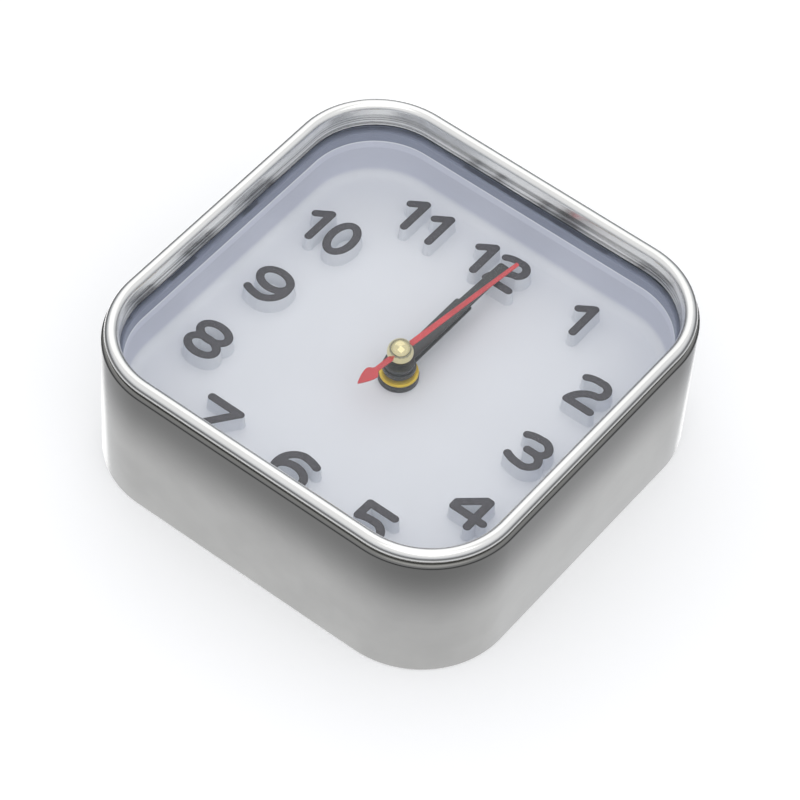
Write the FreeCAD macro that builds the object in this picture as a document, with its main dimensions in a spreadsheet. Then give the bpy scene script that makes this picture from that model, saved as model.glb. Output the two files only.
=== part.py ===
import FreeCAD, Part
import math
import os
import re

import Sketcher

# A square table clock. Every piece is drawn about its own axis, with the clock lying on its back:
# x to three o'clock, y to twelve o'clock and z out of the dial, from the rear rim. Placements then
# stand it up, with the dial facing -Y and the flat six o'clock side on the ground.

SIZES = {
    # case band and rim
    "case_side": 143.0,
    "case_corner": 30.4,
    "knob_recess": 3.15,
    "shell_sheet": 0.8,
    "shoulder_radius": 1.2,
    "rear_lip": 4.0,
    "flange_width": 4.1,
    "bead_inset": 3.05,
    "bead_radius": 2.15,
    "bead_rise": 1.65,
    "collar_depth": 6.2,
    "collar_wall": 0.7,
    "collar_lean": 0.5,
    # glass and inner wall
    "glass_thickness": 1.8,
    "glass_overlap": 1.15,
    "gasket_width": 0.9,
    "gasket_thickness": 0.5,
    "spacer_inset": 3.45,
    "spacer_fit": 0.15,
    "shell_fit": 0.4,
    # dial tray
    "cap_clearance": 2.45,
    "dial_flange_drop": 12.2,
    "dial_flange_thickness": 1.2,
    "dial_wall_inset": 3.55,
    "dial_step_height": 2.4,
    "dial_draft": 0.7,
    "foot_radius": 3.5,
    "dial_thickness": 1.6,
    "post_radius": 4.0,
    "post_length": 12.0,
    "screw_radius": 1.5,
    "screw_length": 12.0,
    "screw_head_radius": 2.8,
    "screw_head_height": 2.0,
    "slot_width": 0.8,
    "slot_depth": 0.9,
    # raised numerals
    "numeral_stroke": 2.7,
    "numeral_rise": 5.0,
    # back cover
    "cover_thickness": 2.0,
    "cover_fit": 0.3,
    "cover_post_radius": 5.0,
    "window_gap": 2.0,
    "window_corner": 4.0,
    "window_wall": 1.6,
    "window_rise": 5.5,
    # movement
    "movement_corner": 3.0,
    "movement_wall": 1.0,
    "movement_skin": 1.2,
    "washer_thickness": 1.0,
    "washer_radius": 10.0,
    "bush_radius": 3.95,
    "bush_rise": 3.7,
    "bush_fit": 0.3,
    "front_collar_radius": 6.2,
    "front_collar_height": 2.3,
    "nut_radius": 6.0,
    "nut_height": 0.9,
    "nut_chamfer": 0.25,
    "bay_wall": 0.7,
    "plate_thickness": 1.2,
    "running_fit": 0.05,
    "free_gap": 0.3,
    # battery
    "cell_radius": 7.1,
    "cell_length": 49.2,
    "cell_button_radius": 2.75,
    "cell_button_length": 1.0,
    "contact_sheet": 0.4,
    "contact_width": 8.0,
    "contact_reach": 2.1,
    "contact_dome_radius": 3.0,
    # arbors and tubes
    "needle_arbor_radius": 0.5,
    "minute_tube_radius": 1.6,
    "hour_tube_radius": 2.5,
    "thin_arbor_radius": 0.5,
    "pivot_depth": 0.8,
    "wheel_thickness": 1.0,
    "knob_radius": 5.5,
    "knob_height": 3.6,
    "knob_shaft_radius": 0.9,
    "knob_groove_radius": 0.4,
    "leg_radius": 1.35,
    "rotor_radius": 2.75,
    "rotor_length": 2.6,
    # gear modules
    "fast_module": 0.3,
    "third_module": 0.36,
    "centre_module": 0.34,
    "motion_module": 0.35,
    "hour_module": 0.336,
    # hands, measured from the dial face
    "hour_hub_radius": 5.1,
    "hour_hub_height": 1.5,
    "hour_hub_lift": 4.5,
    "hour_blade_lift": 0.5,
    "hour_width": 6.0,
    "hour_corner": 1.2,
    "minute_hub_radius": 4.6,
    "minute_hub_height": 1.3,
    "minute_hub_lift": 6.35,
    "minute_blade_lift": 0.3,
    "minute_root_width": 5.0,
    "minute_tip_width": 3.8,
    "minute_corner": 1.2,
    "needle_lift": 12.0,
    "needle_root_width": 2.0,
    "needle_tip_width": 1.3,
    "tail_length": 17.8,
    "tail_neck_width": 1.7,
    "tail_head_width": 4.6,
    "tail_head_length": 7.8,
    "blade_thickness": 0.5,
    "cap_radius": 4.05,
    # motor and circuit
    "stator_thickness": 0.8,
    "stator_bar": 2.4,
    "stator_ring": 5.6,
    "stator_leg": 6.0,
    "stator_left": 19.0,
    "stator_right": 14.0,
    "stator_low": 15.8,
    "coil_radius": 3.5,
    "coil_length": 18.0,
    "coil_flange": 0.8,
    "coil_flange_radius": 3.9,
    "coil_core_radius": 1.9,
    "plate_left": 22.0,
    "plate_right": 23.0,
    "plate_low": 11.0,
    "plate_high": 17.0,
    "leg_inset": 1.8,
    "board_low": 10.0,
    "board_thickness": 1.0,
    "board_width": 11.0,
    "board_length": 28.0,
    "quartz_radius": 1.0,
    "quartz_length": 6.0,
    "chip_radius": 2.6,
    "chip_height": 0.9,
}

COUNTS = {
    "rotor_pinion_teeth": 8,
    "intermediate_teeth": 48,
    "intermediate_pinion_teeth": 12,
    "seconds_teeth": 60,
    "seconds_pinion_teeth": 8,
    "third_teeth": 60,
    "third_pinion_teeth": 8,
    "centre_teeth": 64,
    "cannon_teeth": 12,
    "minute_work_teeth": 36,
    "minute_work_pinion_teeth": 10,
    "hour_teeth": 40,
    "knob_teeth": 14,
}

# Parts of other lengths, set by eye: posts and numerals of the dial's half side, then the height of
# the numerals and the reach of the hands of the distance from the middle to the numerals.
SHARES = {
    "post_share": 0.732,
    "numeral_share": 0.7788,
    "height_share": 0.282,
    "hour_share": 0.64,
    "minute_share": 1.012,
    "needle_share": 1.006,
}

# Directions in degrees, seen from the front, counted from three o'clock.
ANGLES = {
    "intermediate_bearing": 115.0,
    "rotor_bearing": 165.0,
    "third_bearing": 20.0,
    "minute_work_bearing": 175.0,
    "knob_bearing": 195.0,
    "hour_reading": 0.1,
    "minute_reading": 1.5,
    "seconds_reading": 7.0,
}

# Lengths worked out from the driving sizes.
DERIVED = {
    "half": "case_side / 2",
    "bead_half": "half - bead_inset",
    "bead_corner": "case_corner - bead_inset",
    "knob_level": "knob_recess",
    "movement_back": "knob_level + knob_height + free_gap",
    "cell_depth": "2 * (cell_radius + free_gap) + movement_skin",
    "train_depth": "2 * movement_skin + plate_thickness + 6 * wheel_thickness + 21 * free_gap",
    "movement_front": "movement_back + max(cell_depth; train_depth)",
    "dial_back": "movement_front + washer_thickness",
    "dial_face": "dial_back + dial_thickness",
    "hand_stack": "needle_lift + cap_radius",
    "dial_drop": "hand_stack + cap_clearance + glass_thickness + collar_depth",
    "bead_level": "dial_face + dial_drop",
    "shell_depth": "bead_level - bead_rise",
    "total_depth": "bead_level + bead_radius",
    "inner_half": "half - shell_sheet",
    "collar_inner": "bead_half - bead_radius",
    "collar_outer": "collar_inner + collar_wall",
    "collar_end": "bead_level - collar_depth",
    "collar_foot": "collar_inner - collar_lean",
    "glass_half": "collar_foot + glass_overlap",
    "glass_back": "collar_end - glass_thickness",
    "gasket_back": "glass_back - gasket_thickness",
    "ring_outer": "inner_half - shell_fit",
    "spacer_inner": "bead_half - spacer_inset",
    "spacer_outer_face": "collar_outer + spacer_fit",
    "dial_flange_top": "bead_level - dial_flange_drop",
    "dial_flange_back": "dial_flange_top - dial_flange_thickness",
    "dial_wall": "bead_half - dial_wall_inset",
    "dial_foot": "dial_wall - dial_draft",
    "post_reach": "dial_foot * post_share",
    "numeral_reach": "dial_foot * numeral_share",
    "numeral_height": "numeral_reach * height_share",
    "dial_skin_outer": "dial_wall + dial_flange_thickness",
    "dial_foot_outer": "dial_foot + dial_flange_thickness",
    "post_end": "dial_back - post_length",
    "cover_back": "shell_sheet",
    "cover_front": "cover_back + cover_thickness",
    "cover_half": "inner_half - cover_fit",
    "cover_corner": "case_corner - shell_sheet - cover_fit",
    "screw_seat": "post_end - screw_length / 2",
    "chamber_front": "movement_front - movement_skin",
    "chamber_back": "movement_back + movement_skin",
    "cell_room": "2 * contact_sheet + contact_reach + 3 * free_gap + cell_length + cell_button_length",
    "train_room": "centre_teeth * centre_module / 2 + centre_module + bay_wall + 2 * (cell_radius + free_gap)",
    "chamber_half": "max(cell_room / 2; train_room)",
    "movement_half": "chamber_half + movement_wall",
    "window_half": "movement_half + window_gap",
    "bay_top": "2 * (cell_radius + free_gap) - chamber_half",
    "cell_y": "0 - chamber_half + free_gap + cell_radius",
    "cell_left": "0 - chamber_half + contact_sheet + contact_reach + free_gap",
    "cell_z": "movement_back + free_gap + cell_radius",
    "hour_wheel_level": "chamber_front - free_gap - wheel_thickness",
    "motion_level": "hour_wheel_level - 2 * free_gap - wheel_thickness",
    "centre_wheel_level": "motion_level - 2 * free_gap - wheel_thickness",
    "plate_top": "centre_wheel_level - 5 * free_gap",
    "plate_bottom": "plate_top - plate_thickness",
    "third_wheel_level": "plate_bottom - 2 * free_gap - wheel_thickness",
    "seconds_wheel_level": "third_wheel_level - 2 * free_gap - wheel_thickness",
    "fast_wheel_level": "seconds_wheel_level - 2 * free_gap - wheel_thickness",
    "stator_level": "seconds_wheel_level + rotor_length / 2 - stator_thickness / 2",
    "coil_y": "chamber_half - coil_flange_radius - free_gap",
    "stator_top": "coil_y + stator_bar / 2",
    "board_left": "chamber_half - board_width - movement_wall",
    "coil_z": "stator_level + stator_thickness / 2",
    "board_level": "chamber_back + 3 * free_gap",
    "lower_pivot": "chamber_back - pivot_depth",
    "plate_pivot": "plate_bottom + pivot_depth",
    "upper_pivot": "chamber_front + pivot_depth",
    "hour_hub_level": "dial_face + hour_hub_lift",
    "minute_hub_level": "dial_face + minute_hub_lift",
    "seconds_level": "dial_face + needle_lift",
    "hour_length": "numeral_reach * hour_share",
    "minute_length": "numeral_reach * minute_share",
    "needle_length": "numeral_reach * needle_share",
    "fast_distance": "(rotor_pinion_teeth + intermediate_teeth) * fast_module / 2",
    "seconds_distance": "(intermediate_pinion_teeth + seconds_teeth) * fast_module / 2",
    "third_distance": "(seconds_pinion_teeth + third_teeth) * third_module / 2",
    "motion_distance": "(cannon_teeth + minute_work_teeth) * motion_module / 2",
    "knob_distance": "(knob_teeth + minute_work_teeth) * motion_module / 2",
}


def along(bearing, distance, start=("0", "0")):
    """The point at a distance from start along a bearing, as a pair of formulas."""
    across = "(%s) + (%s) * cos(%s)" % (start[0], distance, bearing)
    upward = "(%s) + (%s) * sin(%s)" % (start[1], distance, bearing)
    return across, upward


# Centres of the wheels, from the hand axis outwards.
INTERMEDIATE = along("intermediate_bearing", "seconds_distance")
ROTOR = along("rotor_bearing", "fast_distance", INTERMEDIATE)
THIRD = along("third_bearing", "third_distance")
MINUTE_WORK = along("minute_work_bearing", "motion_distance")
KNOB = along("knob_bearing", "knob_distance", MINUTE_WORK)

TABLES = (SIZES, COUNTS, SHARES, ANGLES)

doc = FreeCAD.newDocument("table_clock")
sheet = doc.addObject("Spreadsheet::Sheet", "sizes")


def fill_sheet():
    """Writes every driving size, count and angle to its own named cell."""
    rows = [pair for table in TABLES for pair in table.items()]
    for row, (alias, number) in enumerate(rows, 1):
        sheet.set("A%d" % row, alias)
        sheet.set("B%d" % row, str(number))
        sheet.setAlias("B%d" % row, alias)
    doc.recompute()


def formula(text):
    """Spells a formula of size names as an expression on the sheet's cells."""
    def spell(match):
        word = match.group(0)
        if word in DERIVED:
            return "(" + formula(DERIVED[word]) + ")"
        if any(word in table for table in TABLES):
            return "sizes." + word
        return word

    return re.sub(r"(?<![\w.])[a-z_]\w*", spell, text)


def value(text):
    """The present number of a formula."""
    return float(sheet.evalExpression(formula(text)))


# Shared parts of the sketches and features.

def origin_plane(body, role):
    return [item for item in body.Origin.OriginFeatures if item.Role == role][0]


def new_body(label, x="0", y="0", z="0"):
    """A body whose own origin lies at x, y, z of the lying clock."""
    body = doc.addObject("PartDesign::Body", label)
    body.Label = label
    stand_up(body, x, y, z)
    return body


def stand_up(piece, x="0", y="0", z="0", turn=None):
    """Places a piece in the standing clock. turn is a clockwise reading in degrees."""
    rotation = FreeCAD.Rotation(FreeCAD.Vector(1, 0, 0), 90)
    if turn is not None:
        rotation = FreeCAD.Rotation(FreeCAD.Vector(0, 1, 0), value(turn)).multiply(rotation)
    piece.Placement = FreeCAD.Placement(FreeCAD.Vector(), rotation)
    piece.setExpression("Placement.Base.x", formula(x))
    piece.setExpression("Placement.Base.y", formula("total_depth / 2 - (%s)" % z))
    piece.setExpression("Placement.Base.z", formula("half + (%s)" % y))


def new_sketch(body, name, role="XY_Plane", lift="0"):
    sketch = body.newObject("Sketcher::SketchObject", name)
    sketch.AttachmentSupport = [(origin_plane(body, role), "")]
    sketch.MapMode = "FlatFace"
    if lift != "0":
        sketch.setExpression("AttachmentOffset.Base.z", formula(lift))
    return sketch


def bind(sketch, constraint, name, text):
    index = sketch.addConstraint(constraint)
    sketch.renameConstraint(index, name)
    sketch.setExpression("Constraints." + name, formula(text))


def outline(body, name, points, role="XY_Plane", lift="0"):
    """A closed outline. A point is (x, y), or (x, y, mid_x, mid_y, radius) where an arc leaves it."""
    sketch = new_sketch(body, name, role, lift)
    spots = [FreeCAD.Vector(value(p[0]), value(p[1]), 0) for p in points]
    starts = []
    for k, point in enumerate(points):
        here, there = spots[k], spots[(k + 1) % len(spots)]
        if len(point) == 2:
            sketch.addGeometry(Part.LineSegment(here, there))
        else:
            middle = FreeCAD.Vector(value(point[2]), value(point[3]), 0)
            sketch.addGeometry(Part.Arc(here, middle, there))
        near = sketch.getPoint(k, 1).distanceToPoint(here) < sketch.getPoint(k, 2).distanceToPoint(here)
        starts.append(1 if near else 2)
    for k, point in enumerate(points):
        after = (k + 1) % len(points)
        sketch.addConstraint(Sketcher.Constraint("Coincident", k, 3 - starts[k], after, starts[after]))
        across = Sketcher.Constraint("DistanceX", -1, 1, k, starts[k], spots[k].x)
        upward = Sketcher.Constraint("DistanceY", -1, 1, k, starts[k], spots[k].y)
        bind(sketch, across, "x%d" % k, point[0])
        bind(sketch, upward, "y%d" % k, point[1])
        if len(point) > 2:
            bind(sketch, Sketcher.Constraint("Radius", k, value(point[4])), "r%d" % k, point[4])
    return sketch


def circles(body, name, discs, role="XY_Plane", lift="0"):
    """Separate circles, each (x, y, radius)."""
    sketch = new_sketch(body, name, role, lift)
    for k, (x, y, radius) in enumerate(discs):
        centre = FreeCAD.Vector(value(x), value(y), 0)
        sketch.addGeometry(Part.Circle(centre, FreeCAD.Vector(0, 0, 1), value(radius)))
        bind(sketch, Sketcher.Constraint("DistanceX", -1, 1, k, 3, centre.x), "x%d" % k, x)
        bind(sketch, Sketcher.Constraint("DistanceY", -1, 1, k, 3, centre.y), "y%d" % k, y)
        bind(sketch, Sketcher.Constraint("Radius", k, value(radius)), "r%d" % k, radius)
    return sketch


def box_outline(body, name, low, high, role="XY_Plane", lift="0"):
    corners = [(low[0], low[1]), (high[0], low[1]), (high[0], high[1]), (low[0], high[1])]
    return outline(body, name, corners, role, lift)


def rounded_square(body, name, reach, corner, lift="0", role="XY_Plane"):
    """A square with round corners about the origin, begun at the middle of its right side."""
    flat = "(%s) - (%s)" % (reach, corner)
    share = "((%s) - (%s) * (1 - sqrt(2) / 2))" % (reach, corner)
    points = [(reach, "0")]
    for sx, sy in ((1, 1), (-1, 1), (-1, -1), (1, -1)):
        flat_x, flat_y = "%d * (%s)" % (sx, flat), "%d * (%s)" % (sy, flat)
        side_x, side_y = "%d * (%s)" % (sx, reach), "%d * (%s)" % (sy, reach)
        mid_x, mid_y = "%d * %s" % (sx, share), "%d * %s" % (sy, share)
        if sx * sy > 0:
            points += [(side_x, flat_y, mid_x, mid_y, corner), (flat_x, side_y)]
        else:
            points += [(flat_x, side_y, mid_x, mid_y, corner), (side_x, flat_y)]
    return outline(body, name, points, role, lift)


def pad(body, sketch, length, name="Pad", down=False):
    feature = body.newObject("PartDesign::Pad", name)
    feature.Profile = sketch
    feature.Reversed = down
    feature.setExpression("Length", formula(length))
    sketch.Visibility = False
    return settle(body, feature, grows=True)


def pocket(body, sketch, length, name="Pocket", up=False):
    """Cuts below the sketch's plane, or above it where up is set."""
    feature = body.newObject("PartDesign::Pocket", name)
    feature.Profile = sketch
    feature.Reversed = up
    feature.setExpression("Length", formula(length))
    return settle(body, feature, grows=False)


def sweep_ring(body, profile, path, name="Ring"):
    """Carries a profile round a rounded square."""
    feature = body.newObject("PartDesign::AdditivePipe", name)
    feature.Profile = profile
    feature.Spine = (path, ["Edge%d" % (k + 1) for k in range(path.GeometryCount)])
    return settle(body, feature, grows=True)


def turn(body, profile, name="Turned"):
    """Turns a profile of the XZ plane about the body's z axis."""
    feature = body.newObject("PartDesign::Revolution", name)
    feature.Profile = profile
    feature.ReferenceAxis = (profile, ["V_Axis"])
    feature.Angle = 360
    return settle(body, feature, grows=True)


def settle(body, feature, grows):
    """Recomputes and makes sure that the feature added or removed something."""
    before = body.Tip.BaseFeature.Shape.Volume if body.Tip.BaseFeature else 0
    doc.recompute()
    after = feature.Shape.Volume
    changed = after > before if grows else after < before
    if not changed or not feature.Shape.isValid():
        raise RuntimeError("%s in %s changed nothing" % (feature.Name, body.Label))
    return feature


# Case: band, rim, glass and inner wall.

def ring_body(label, profile):
    """A ring whose profile, in (distance from the middle, level), follows the rim's bead."""
    body = new_body(label)
    path = rounded_square(body, label + "_path", "bead_half", "bead_corner")
    section = outline(body, label + "_section", profile, "XZ_Plane")
    sweep_ring(body, section, path)
    return body


def make_case_shell():
    arc_share = "(1 - sqrt(2) / 2)"
    top = "shell_depth"
    inner_bend = "shoulder_radius - shell_sheet"
    return ring_body("case_shell", [
        ("half", "0"),
        ("half", "shell_depth - shoulder_radius",
         "half - shoulder_radius * " + arc_share, "shell_depth - shoulder_radius * " + arc_share,
         "shoulder_radius"),
        ("half - shoulder_radius", top),
        ("half - flange_width", top),
        ("half - flange_width", "shell_depth - shell_sheet"),
        ("half - shoulder_radius", "shell_depth - shell_sheet",
         "inner_half - (%s) * %s" % (inner_bend, arc_share),
         "shell_depth - shell_sheet - (%s) * %s" % (inner_bend, arc_share), inner_bend),
        ("inner_half", "shell_depth - shoulder_radius"),
        ("inner_half", "shell_sheet"),
        ("half - rear_lip", "shell_sheet"),
        ("half - rear_lip", "0"),
    ])


def make_bezel_ring():
    """The bead sits flat on the band's flange and its collar drops inside to the glass."""
    seat = "sqrt(bead_radius ^ 2 - bead_rise ^ 2)"
    return ring_body("bezel_ring", [
        ("bead_half + " + seat, "shell_depth",
         "bead_half + bead_radius * sqrt(2) / 2", "bead_level + bead_radius * sqrt(2) / 2", "bead_radius"),
        ("collar_inner", "bead_level"),
        ("collar_foot", "collar_end"),
        ("collar_outer", "collar_end"),
        ("collar_outer", "shell_depth"),
    ])


def make_front_glass():
    body = new_body("front_glass", z="glass_back")
    corner = "bead_corner - (bead_half - glass_half)"
    pad(body, rounded_square(body, "glass_outline", "glass_half", corner), "glass_thickness")
    return body


def make_glass_gasket():
    return ring_body("glass_gasket", [
        ("glass_half", "gasket_back"),
        ("glass_half", "glass_back"),
        ("glass_half - gasket_width", "glass_back"),
        ("glass_half - gasket_width", "gasket_back"),
    ])


def make_spacer_ring():
    """An L-shaped ring: its foot is the wall seen behind the glass, its upstand centres the glass."""
    return ring_body("spacer_ring", [
        ("ring_outer", "dial_flange_top"),
        ("ring_outer", "shell_depth - shell_sheet - free_gap"),
        ("spacer_outer_face", "shell_depth - shell_sheet - free_gap"),
        ("spacer_outer_face", "gasket_back"),
        ("spacer_inner", "gasket_back"),
        ("spacer_inner", "dial_flange_top"),
    ])


# Dial: a tray with raised numerals.

# Strokes of each digit as shares, chosen by hand, of the numeral height: lines, arcs through three
# points, and upright loops given by centre and half axes.
DIGIT_SHARES = {
    "0": [("loop", (0, 0), (0.255, 0.43))],
    "1": [("line", (-0.15, 0.20), (0.14, 0.40)), ("line", (0.14, 0.40), (0.14, -0.41))],
    "2": [("arc", (-0.305, 0.325), (-0.14, 0.39), (0.035, 0.40)),
          ("arc", (0.035, 0.40), (0.275, 0.245), (0.19, 0.04)),
          ("arc", (0.19, 0.04), (-0.14, -0.115), (-0.30, -0.395)),
          ("line", (-0.30, -0.395), (0.30, -0.395))],
    "3": [("arc", (-0.30, 0.33), (-0.15, 0.385), (0.015, 0.40)),
          ("arc", (0.015, 0.40), (0.24, 0.345), (0.33, 0.20)),
          ("arc", (0.33, 0.20), (0.265, 0.075), (0.085, 0.018)),
          ("line", (-0.065, 0.018), (0.085, 0.018)),
          ("arc", (0.085, 0.018), (0.275, -0.06), (0.33, -0.21)),
          ("arc", (0.33, -0.21), (0.225, -0.35), (0.0, -0.40)),
          ("arc", (0.0, -0.40), (-0.17, -0.38), (-0.325, -0.325))],
    "4": [("line", (0.09, 0.395), (0.17, 0.395)), ("line", (0.09, 0.395), (-0.37, -0.005)),
          ("line", (-0.37, -0.005), (-0.37, -0.138)), ("line", (-0.37, -0.138), (0.375, -0.138)),
          ("line", (0.17, 0.395), (0.17, -0.39))],
    "5": [("line", (-0.325, 0.405), (0.305, 0.405)), ("line", (-0.325, 0.405), (-0.335, 0.01)),
          ("arc", (-0.335, 0.01), (-0.165, 0.065), (0.015, 0.08)),
          ("arc", (0.015, 0.08), (0.25, 0.005), (0.34, -0.175)),
          ("arc", (0.34, -0.175), (0.25, -0.345), (0.0, -0.405)),
          ("arc", (0.0, -0.405), (-0.175, -0.385), (-0.345, -0.33))],
    "6": [("loop", (0.007, -0.167), (0.365, 0.252)),
          ("arc", (-0.37, -0.13), (-0.28, 0.237), (-0.01, 0.405)),
          ("arc", (-0.01, 0.405), (0.185, 0.387), (0.36, 0.333))],
    "7": [("line", (-0.375, 0.415), (0.365, 0.415)), ("line", (0.365, 0.415), (-0.255, -0.43))],
    "8": [("loop", (0, 0.208), (0.348, 0.22)), ("loop", (0, -0.208), (0.348, 0.22))],
    "9": [("loop", (-0.007, 0.167), (0.365, 0.252)),
          ("arc", (0.37, 0.13), (0.28, -0.237), (0.01, -0.405)),
          ("arc", (0.01, -0.405), (-0.185, -0.387), (-0.36, -0.333))],
}

# Each digit of the dial and its middle, as shares, chosen by hand, of the numeral reach.
PLACE_SHARES = [
    ("1", 0.592, 1.003), ("2", 0.990, 0.568), ("3", 0.976, -0.007), ("4", 0.982, -0.570),
    ("5", 0.590, -1.021), ("6", -0.002, -1.004), ("7", -0.594, -1.012), ("8", -0.998, -0.573),
    ("9", -0.983, -0.003), ("1", -1.092, 0.564), ("0", -0.884, 0.564), ("1", -0.696, 1.004),
    ("1", -0.508, 1.004), ("1", -0.162, 1.003), ("2", 0.058, 1.004),
]


def stroke_faces(stroke, height, half_width):
    """Flat faces of one stroke with round ends, all at level zero."""
    kind = stroke[0]
    up = FreeCAD.Vector(0, 0, 1)
    points = [FreeCAD.Vector(x, y, 0) * height for x, y in stroke[1:]]
    if kind == "loop":
        centre, axes = points
        discs = []
        for grow in (half_width, -half_width):
            wide = centre + FreeCAD.Vector(axes.x + grow, 0, 0)
            tall = centre + FreeCAD.Vector(0, axes.y + grow, 0)
            longer, shorter = (wide, tall) if axes.x >= axes.y else (tall, wide)
            discs.append(Part.Face(Part.Wire(Part.Ellipse(longer, shorter, centre).toShape())))
        return [discs[0].cut(discs[1])]
    ends = [points[0], points[-1]]
    faces = [Part.Face(Part.Wire(Part.Circle(end, up, half_width).toShape())) for end in ends]
    if kind == "line":
        side = (ends[1] - ends[0]).cross(up).normalize() * half_width
        corners = [ends[0] + side, ends[1] + side, ends[1] - side, ends[0] - side, ends[0] + side]
        faces.append(Part.Face(Part.makePolygon(corners)))
        return faces
    curve = Part.Arc(*points).toShape().Curve
    rails = []
    for grow in (half_width, -half_width):
        scale = (curve.Radius + grow) / curve.Radius
        rails.append([curve.Center + (point - curve.Center) * scale for point in points])
    outer, inner = rails
    edges = [Part.Arc(*outer).toShape(), Part.makeLine(outer[2], inner[2]),
             Part.Arc(*inner).toShape(), Part.makeLine(inner[0], outer[0])]
    faces.append(Part.Face(Part.Wire(Part.__sortEdges__(edges))))
    return faces


def digit_solid(digit, height, half_width, rise):
    bars = []
    for stroke in DIGIT_SHARES[digit]:
        bars += [face.extrude(FreeCAD.Vector(0, 0, rise))
                 for face in stroke_faces(stroke, height, half_width)]
    return bars[0].multiFuse(bars[1:]).removeSplitter() if len(bars) > 1 else bars[0]


def make_numerals():
    """All digits, standing on the dial face and sunk into it by half the dial's thickness."""
    height = value("numeral_height")
    half_width = value("numeral_stroke / 2")
    root = value("dial_thickness / 2")
    reach = value("numeral_reach")
    solids = []
    for digit, share_x, share_y in PLACE_SHARES:
        solid = digit_solid(digit, height, half_width, value("numeral_rise") + root)
        solid.translate(FreeCAD.Vector(share_x * reach, share_y * reach, value("dial_face") - root))
        solids += solid.Solids
    numerals = doc.addObject("Part::Feature", "numerals")
    numerals.Shape = Part.makeCompound(solids)
    return numerals


def post_spots():
    reaches = ("post_reach", "0 - post_reach")
    return [(x, y) for x in reaches for y in reaches]


def make_dial():
    """Flange, step and drafted wall swept as one profile, then the floor, posts and centre hole."""
    tray = doc.addObject("PartDesign::Body", "dial_tray")
    path = rounded_square(tray, "dial_path", "bead_half", "bead_corner")
    section = outline(tray, "dial_section", [
        ("ring_outer", "dial_flange_back"),
        ("ring_outer", "dial_flange_top"),
        ("dial_wall", "dial_flange_top"),
        ("dial_wall", "dial_flange_top - dial_step_height"),
        ("dial_foot", "dial_face + foot_radius",
         "dial_foot - foot_radius * (1 - sqrt(2) / 2)", "dial_face + foot_radius * (1 - sqrt(2) / 2)",
         "foot_radius"),
        ("dial_foot - foot_radius", "dial_face"),
        ("dial_foot - foot_radius", "dial_back"),
        ("dial_foot_outer", "dial_back"),
        ("dial_skin_outer", "dial_flange_top - dial_step_height"),
        ("dial_skin_outer", "dial_flange_back"),
    ], "XZ_Plane")
    sweep_ring(tray, section, path)
    corner = "bead_corner - (bead_half - dial_foot) + dial_flange_thickness / 2"
    floor = rounded_square(tray, "dial_floor", "dial_foot + dial_flange_thickness / 2", corner, "dial_back")
    pad(tray, floor, "dial_thickness", "Floor")
    spots = post_spots()
    posts = circles(tray, "dial_posts", [(x, y, "post_radius") for x, y in spots], lift="post_end")
    pad(tray, posts, "post_length + dial_thickness / 2", "Posts")
    pilots = circles(tray, "dial_pilots", [(x, y, "screw_radius + running_fit") for x, y in spots],
                     lift="post_end")
    pocket(tray, pilots, "screw_length / 2 + free_gap", "Pilots", up=True)
    hole = circles(tray, "dial_hole", [("0", "0", "bush_radius + bush_fit")], lift="dial_back")
    pocket(tray, hole, "dial_thickness", "Hole", up=True)
    dial = doc.addObject("Part::MultiFuse", "dial")
    dial.Label = "dial"
    dial.Shapes = [tray, make_numerals()]
    stand_up(dial)
    doc.recompute()
    return dial


# Back: cover plate with the movement window, and its screws.

def make_back_cover():
    """A plate held by the band's rear lip, with a collar round the window and four screw columns."""
    body = new_body("back_cover")
    plate = rounded_square(body, "cover_outline", "cover_half", "cover_corner", "cover_back")
    pad(body, plate, "cover_thickness")
    skirt = rounded_square(body, "cover_skirt", "cover_half", "cover_corner", "cover_front")
    pad(body, skirt, "dial_flange_back - cover_front", "Skirt")
    inside = rounded_square(body, "cover_inside", "cover_half - window_wall", "cover_corner - window_wall",
                            "cover_front")
    pocket(body, inside, "dial_flange_back - cover_front", "Inside", up=True)
    collar = rounded_square(body, "window_collar", "window_half + window_wall",
                            "window_corner + window_wall", "cover_back")
    pad(body, collar, "cover_thickness + window_rise", "Collar")
    window = rounded_square(body, "window", "window_half", "window_corner", "cover_back")
    pocket(body, window, "cover_thickness + window_rise", "Window", up=True)
    columns = circles(body, "columns", [(x, y, "cover_post_radius") for x, y in post_spots()],
                      lift="cover_back")
    pad(body, columns, "post_end - cover_back", "Columns")
    wells = circles(body, "wells", [(x, y, "screw_head_radius + free_gap") for x, y in post_spots()],
                    lift="cover_back")
    pocket(body, wells, "screw_seat - cover_back", "Wells", up=True)
    holes = circles(body, "holes", [(x, y, "screw_radius + running_fit") for x, y in post_spots()],
                    lift="screw_seat")
    pocket(body, holes, "post_end - screw_seat", "Holes", up=True)
    return body


def make_cover_screws():
    """Four pan-head screws as one group, driven forward into the dial's posts."""
    screws = []
    for number, (x, y) in enumerate(post_spots(), 1):
        body = doc.addObject("PartDesign::Body", "cover_screw_%d" % number)
        name = body.Name
        shank = circles(body, name + "_shank", [(x, y, "screw_radius")], lift="screw_seat")
        pad(body, shank, "screw_length", "Shank")
        head = circles(body, name + "_head", [(x, y, "screw_head_radius")], lift="screw_seat")
        pad(body, head, "screw_head_height", "Head", down=True)
        low = ("(%s) - screw_head_radius" % x, "(%s) - slot_width / 2" % y)
        high = ("(%s) + screw_head_radius" % x, "(%s) + slot_width / 2" % y)
        slot = box_outline(body, name + "_slot", low, high, lift="screw_seat - screw_head_height")
        pocket(body, slot, "slot_depth", "Slot", up=True)
        screws.append(body)
    group = doc.addObject("Part::Compound", "cover_screws")
    group.Label = "cover_screws"
    group.Links = screws
    stand_up(group)
    doc.recompute()
    return group


# Centre stack on the dial.

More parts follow.
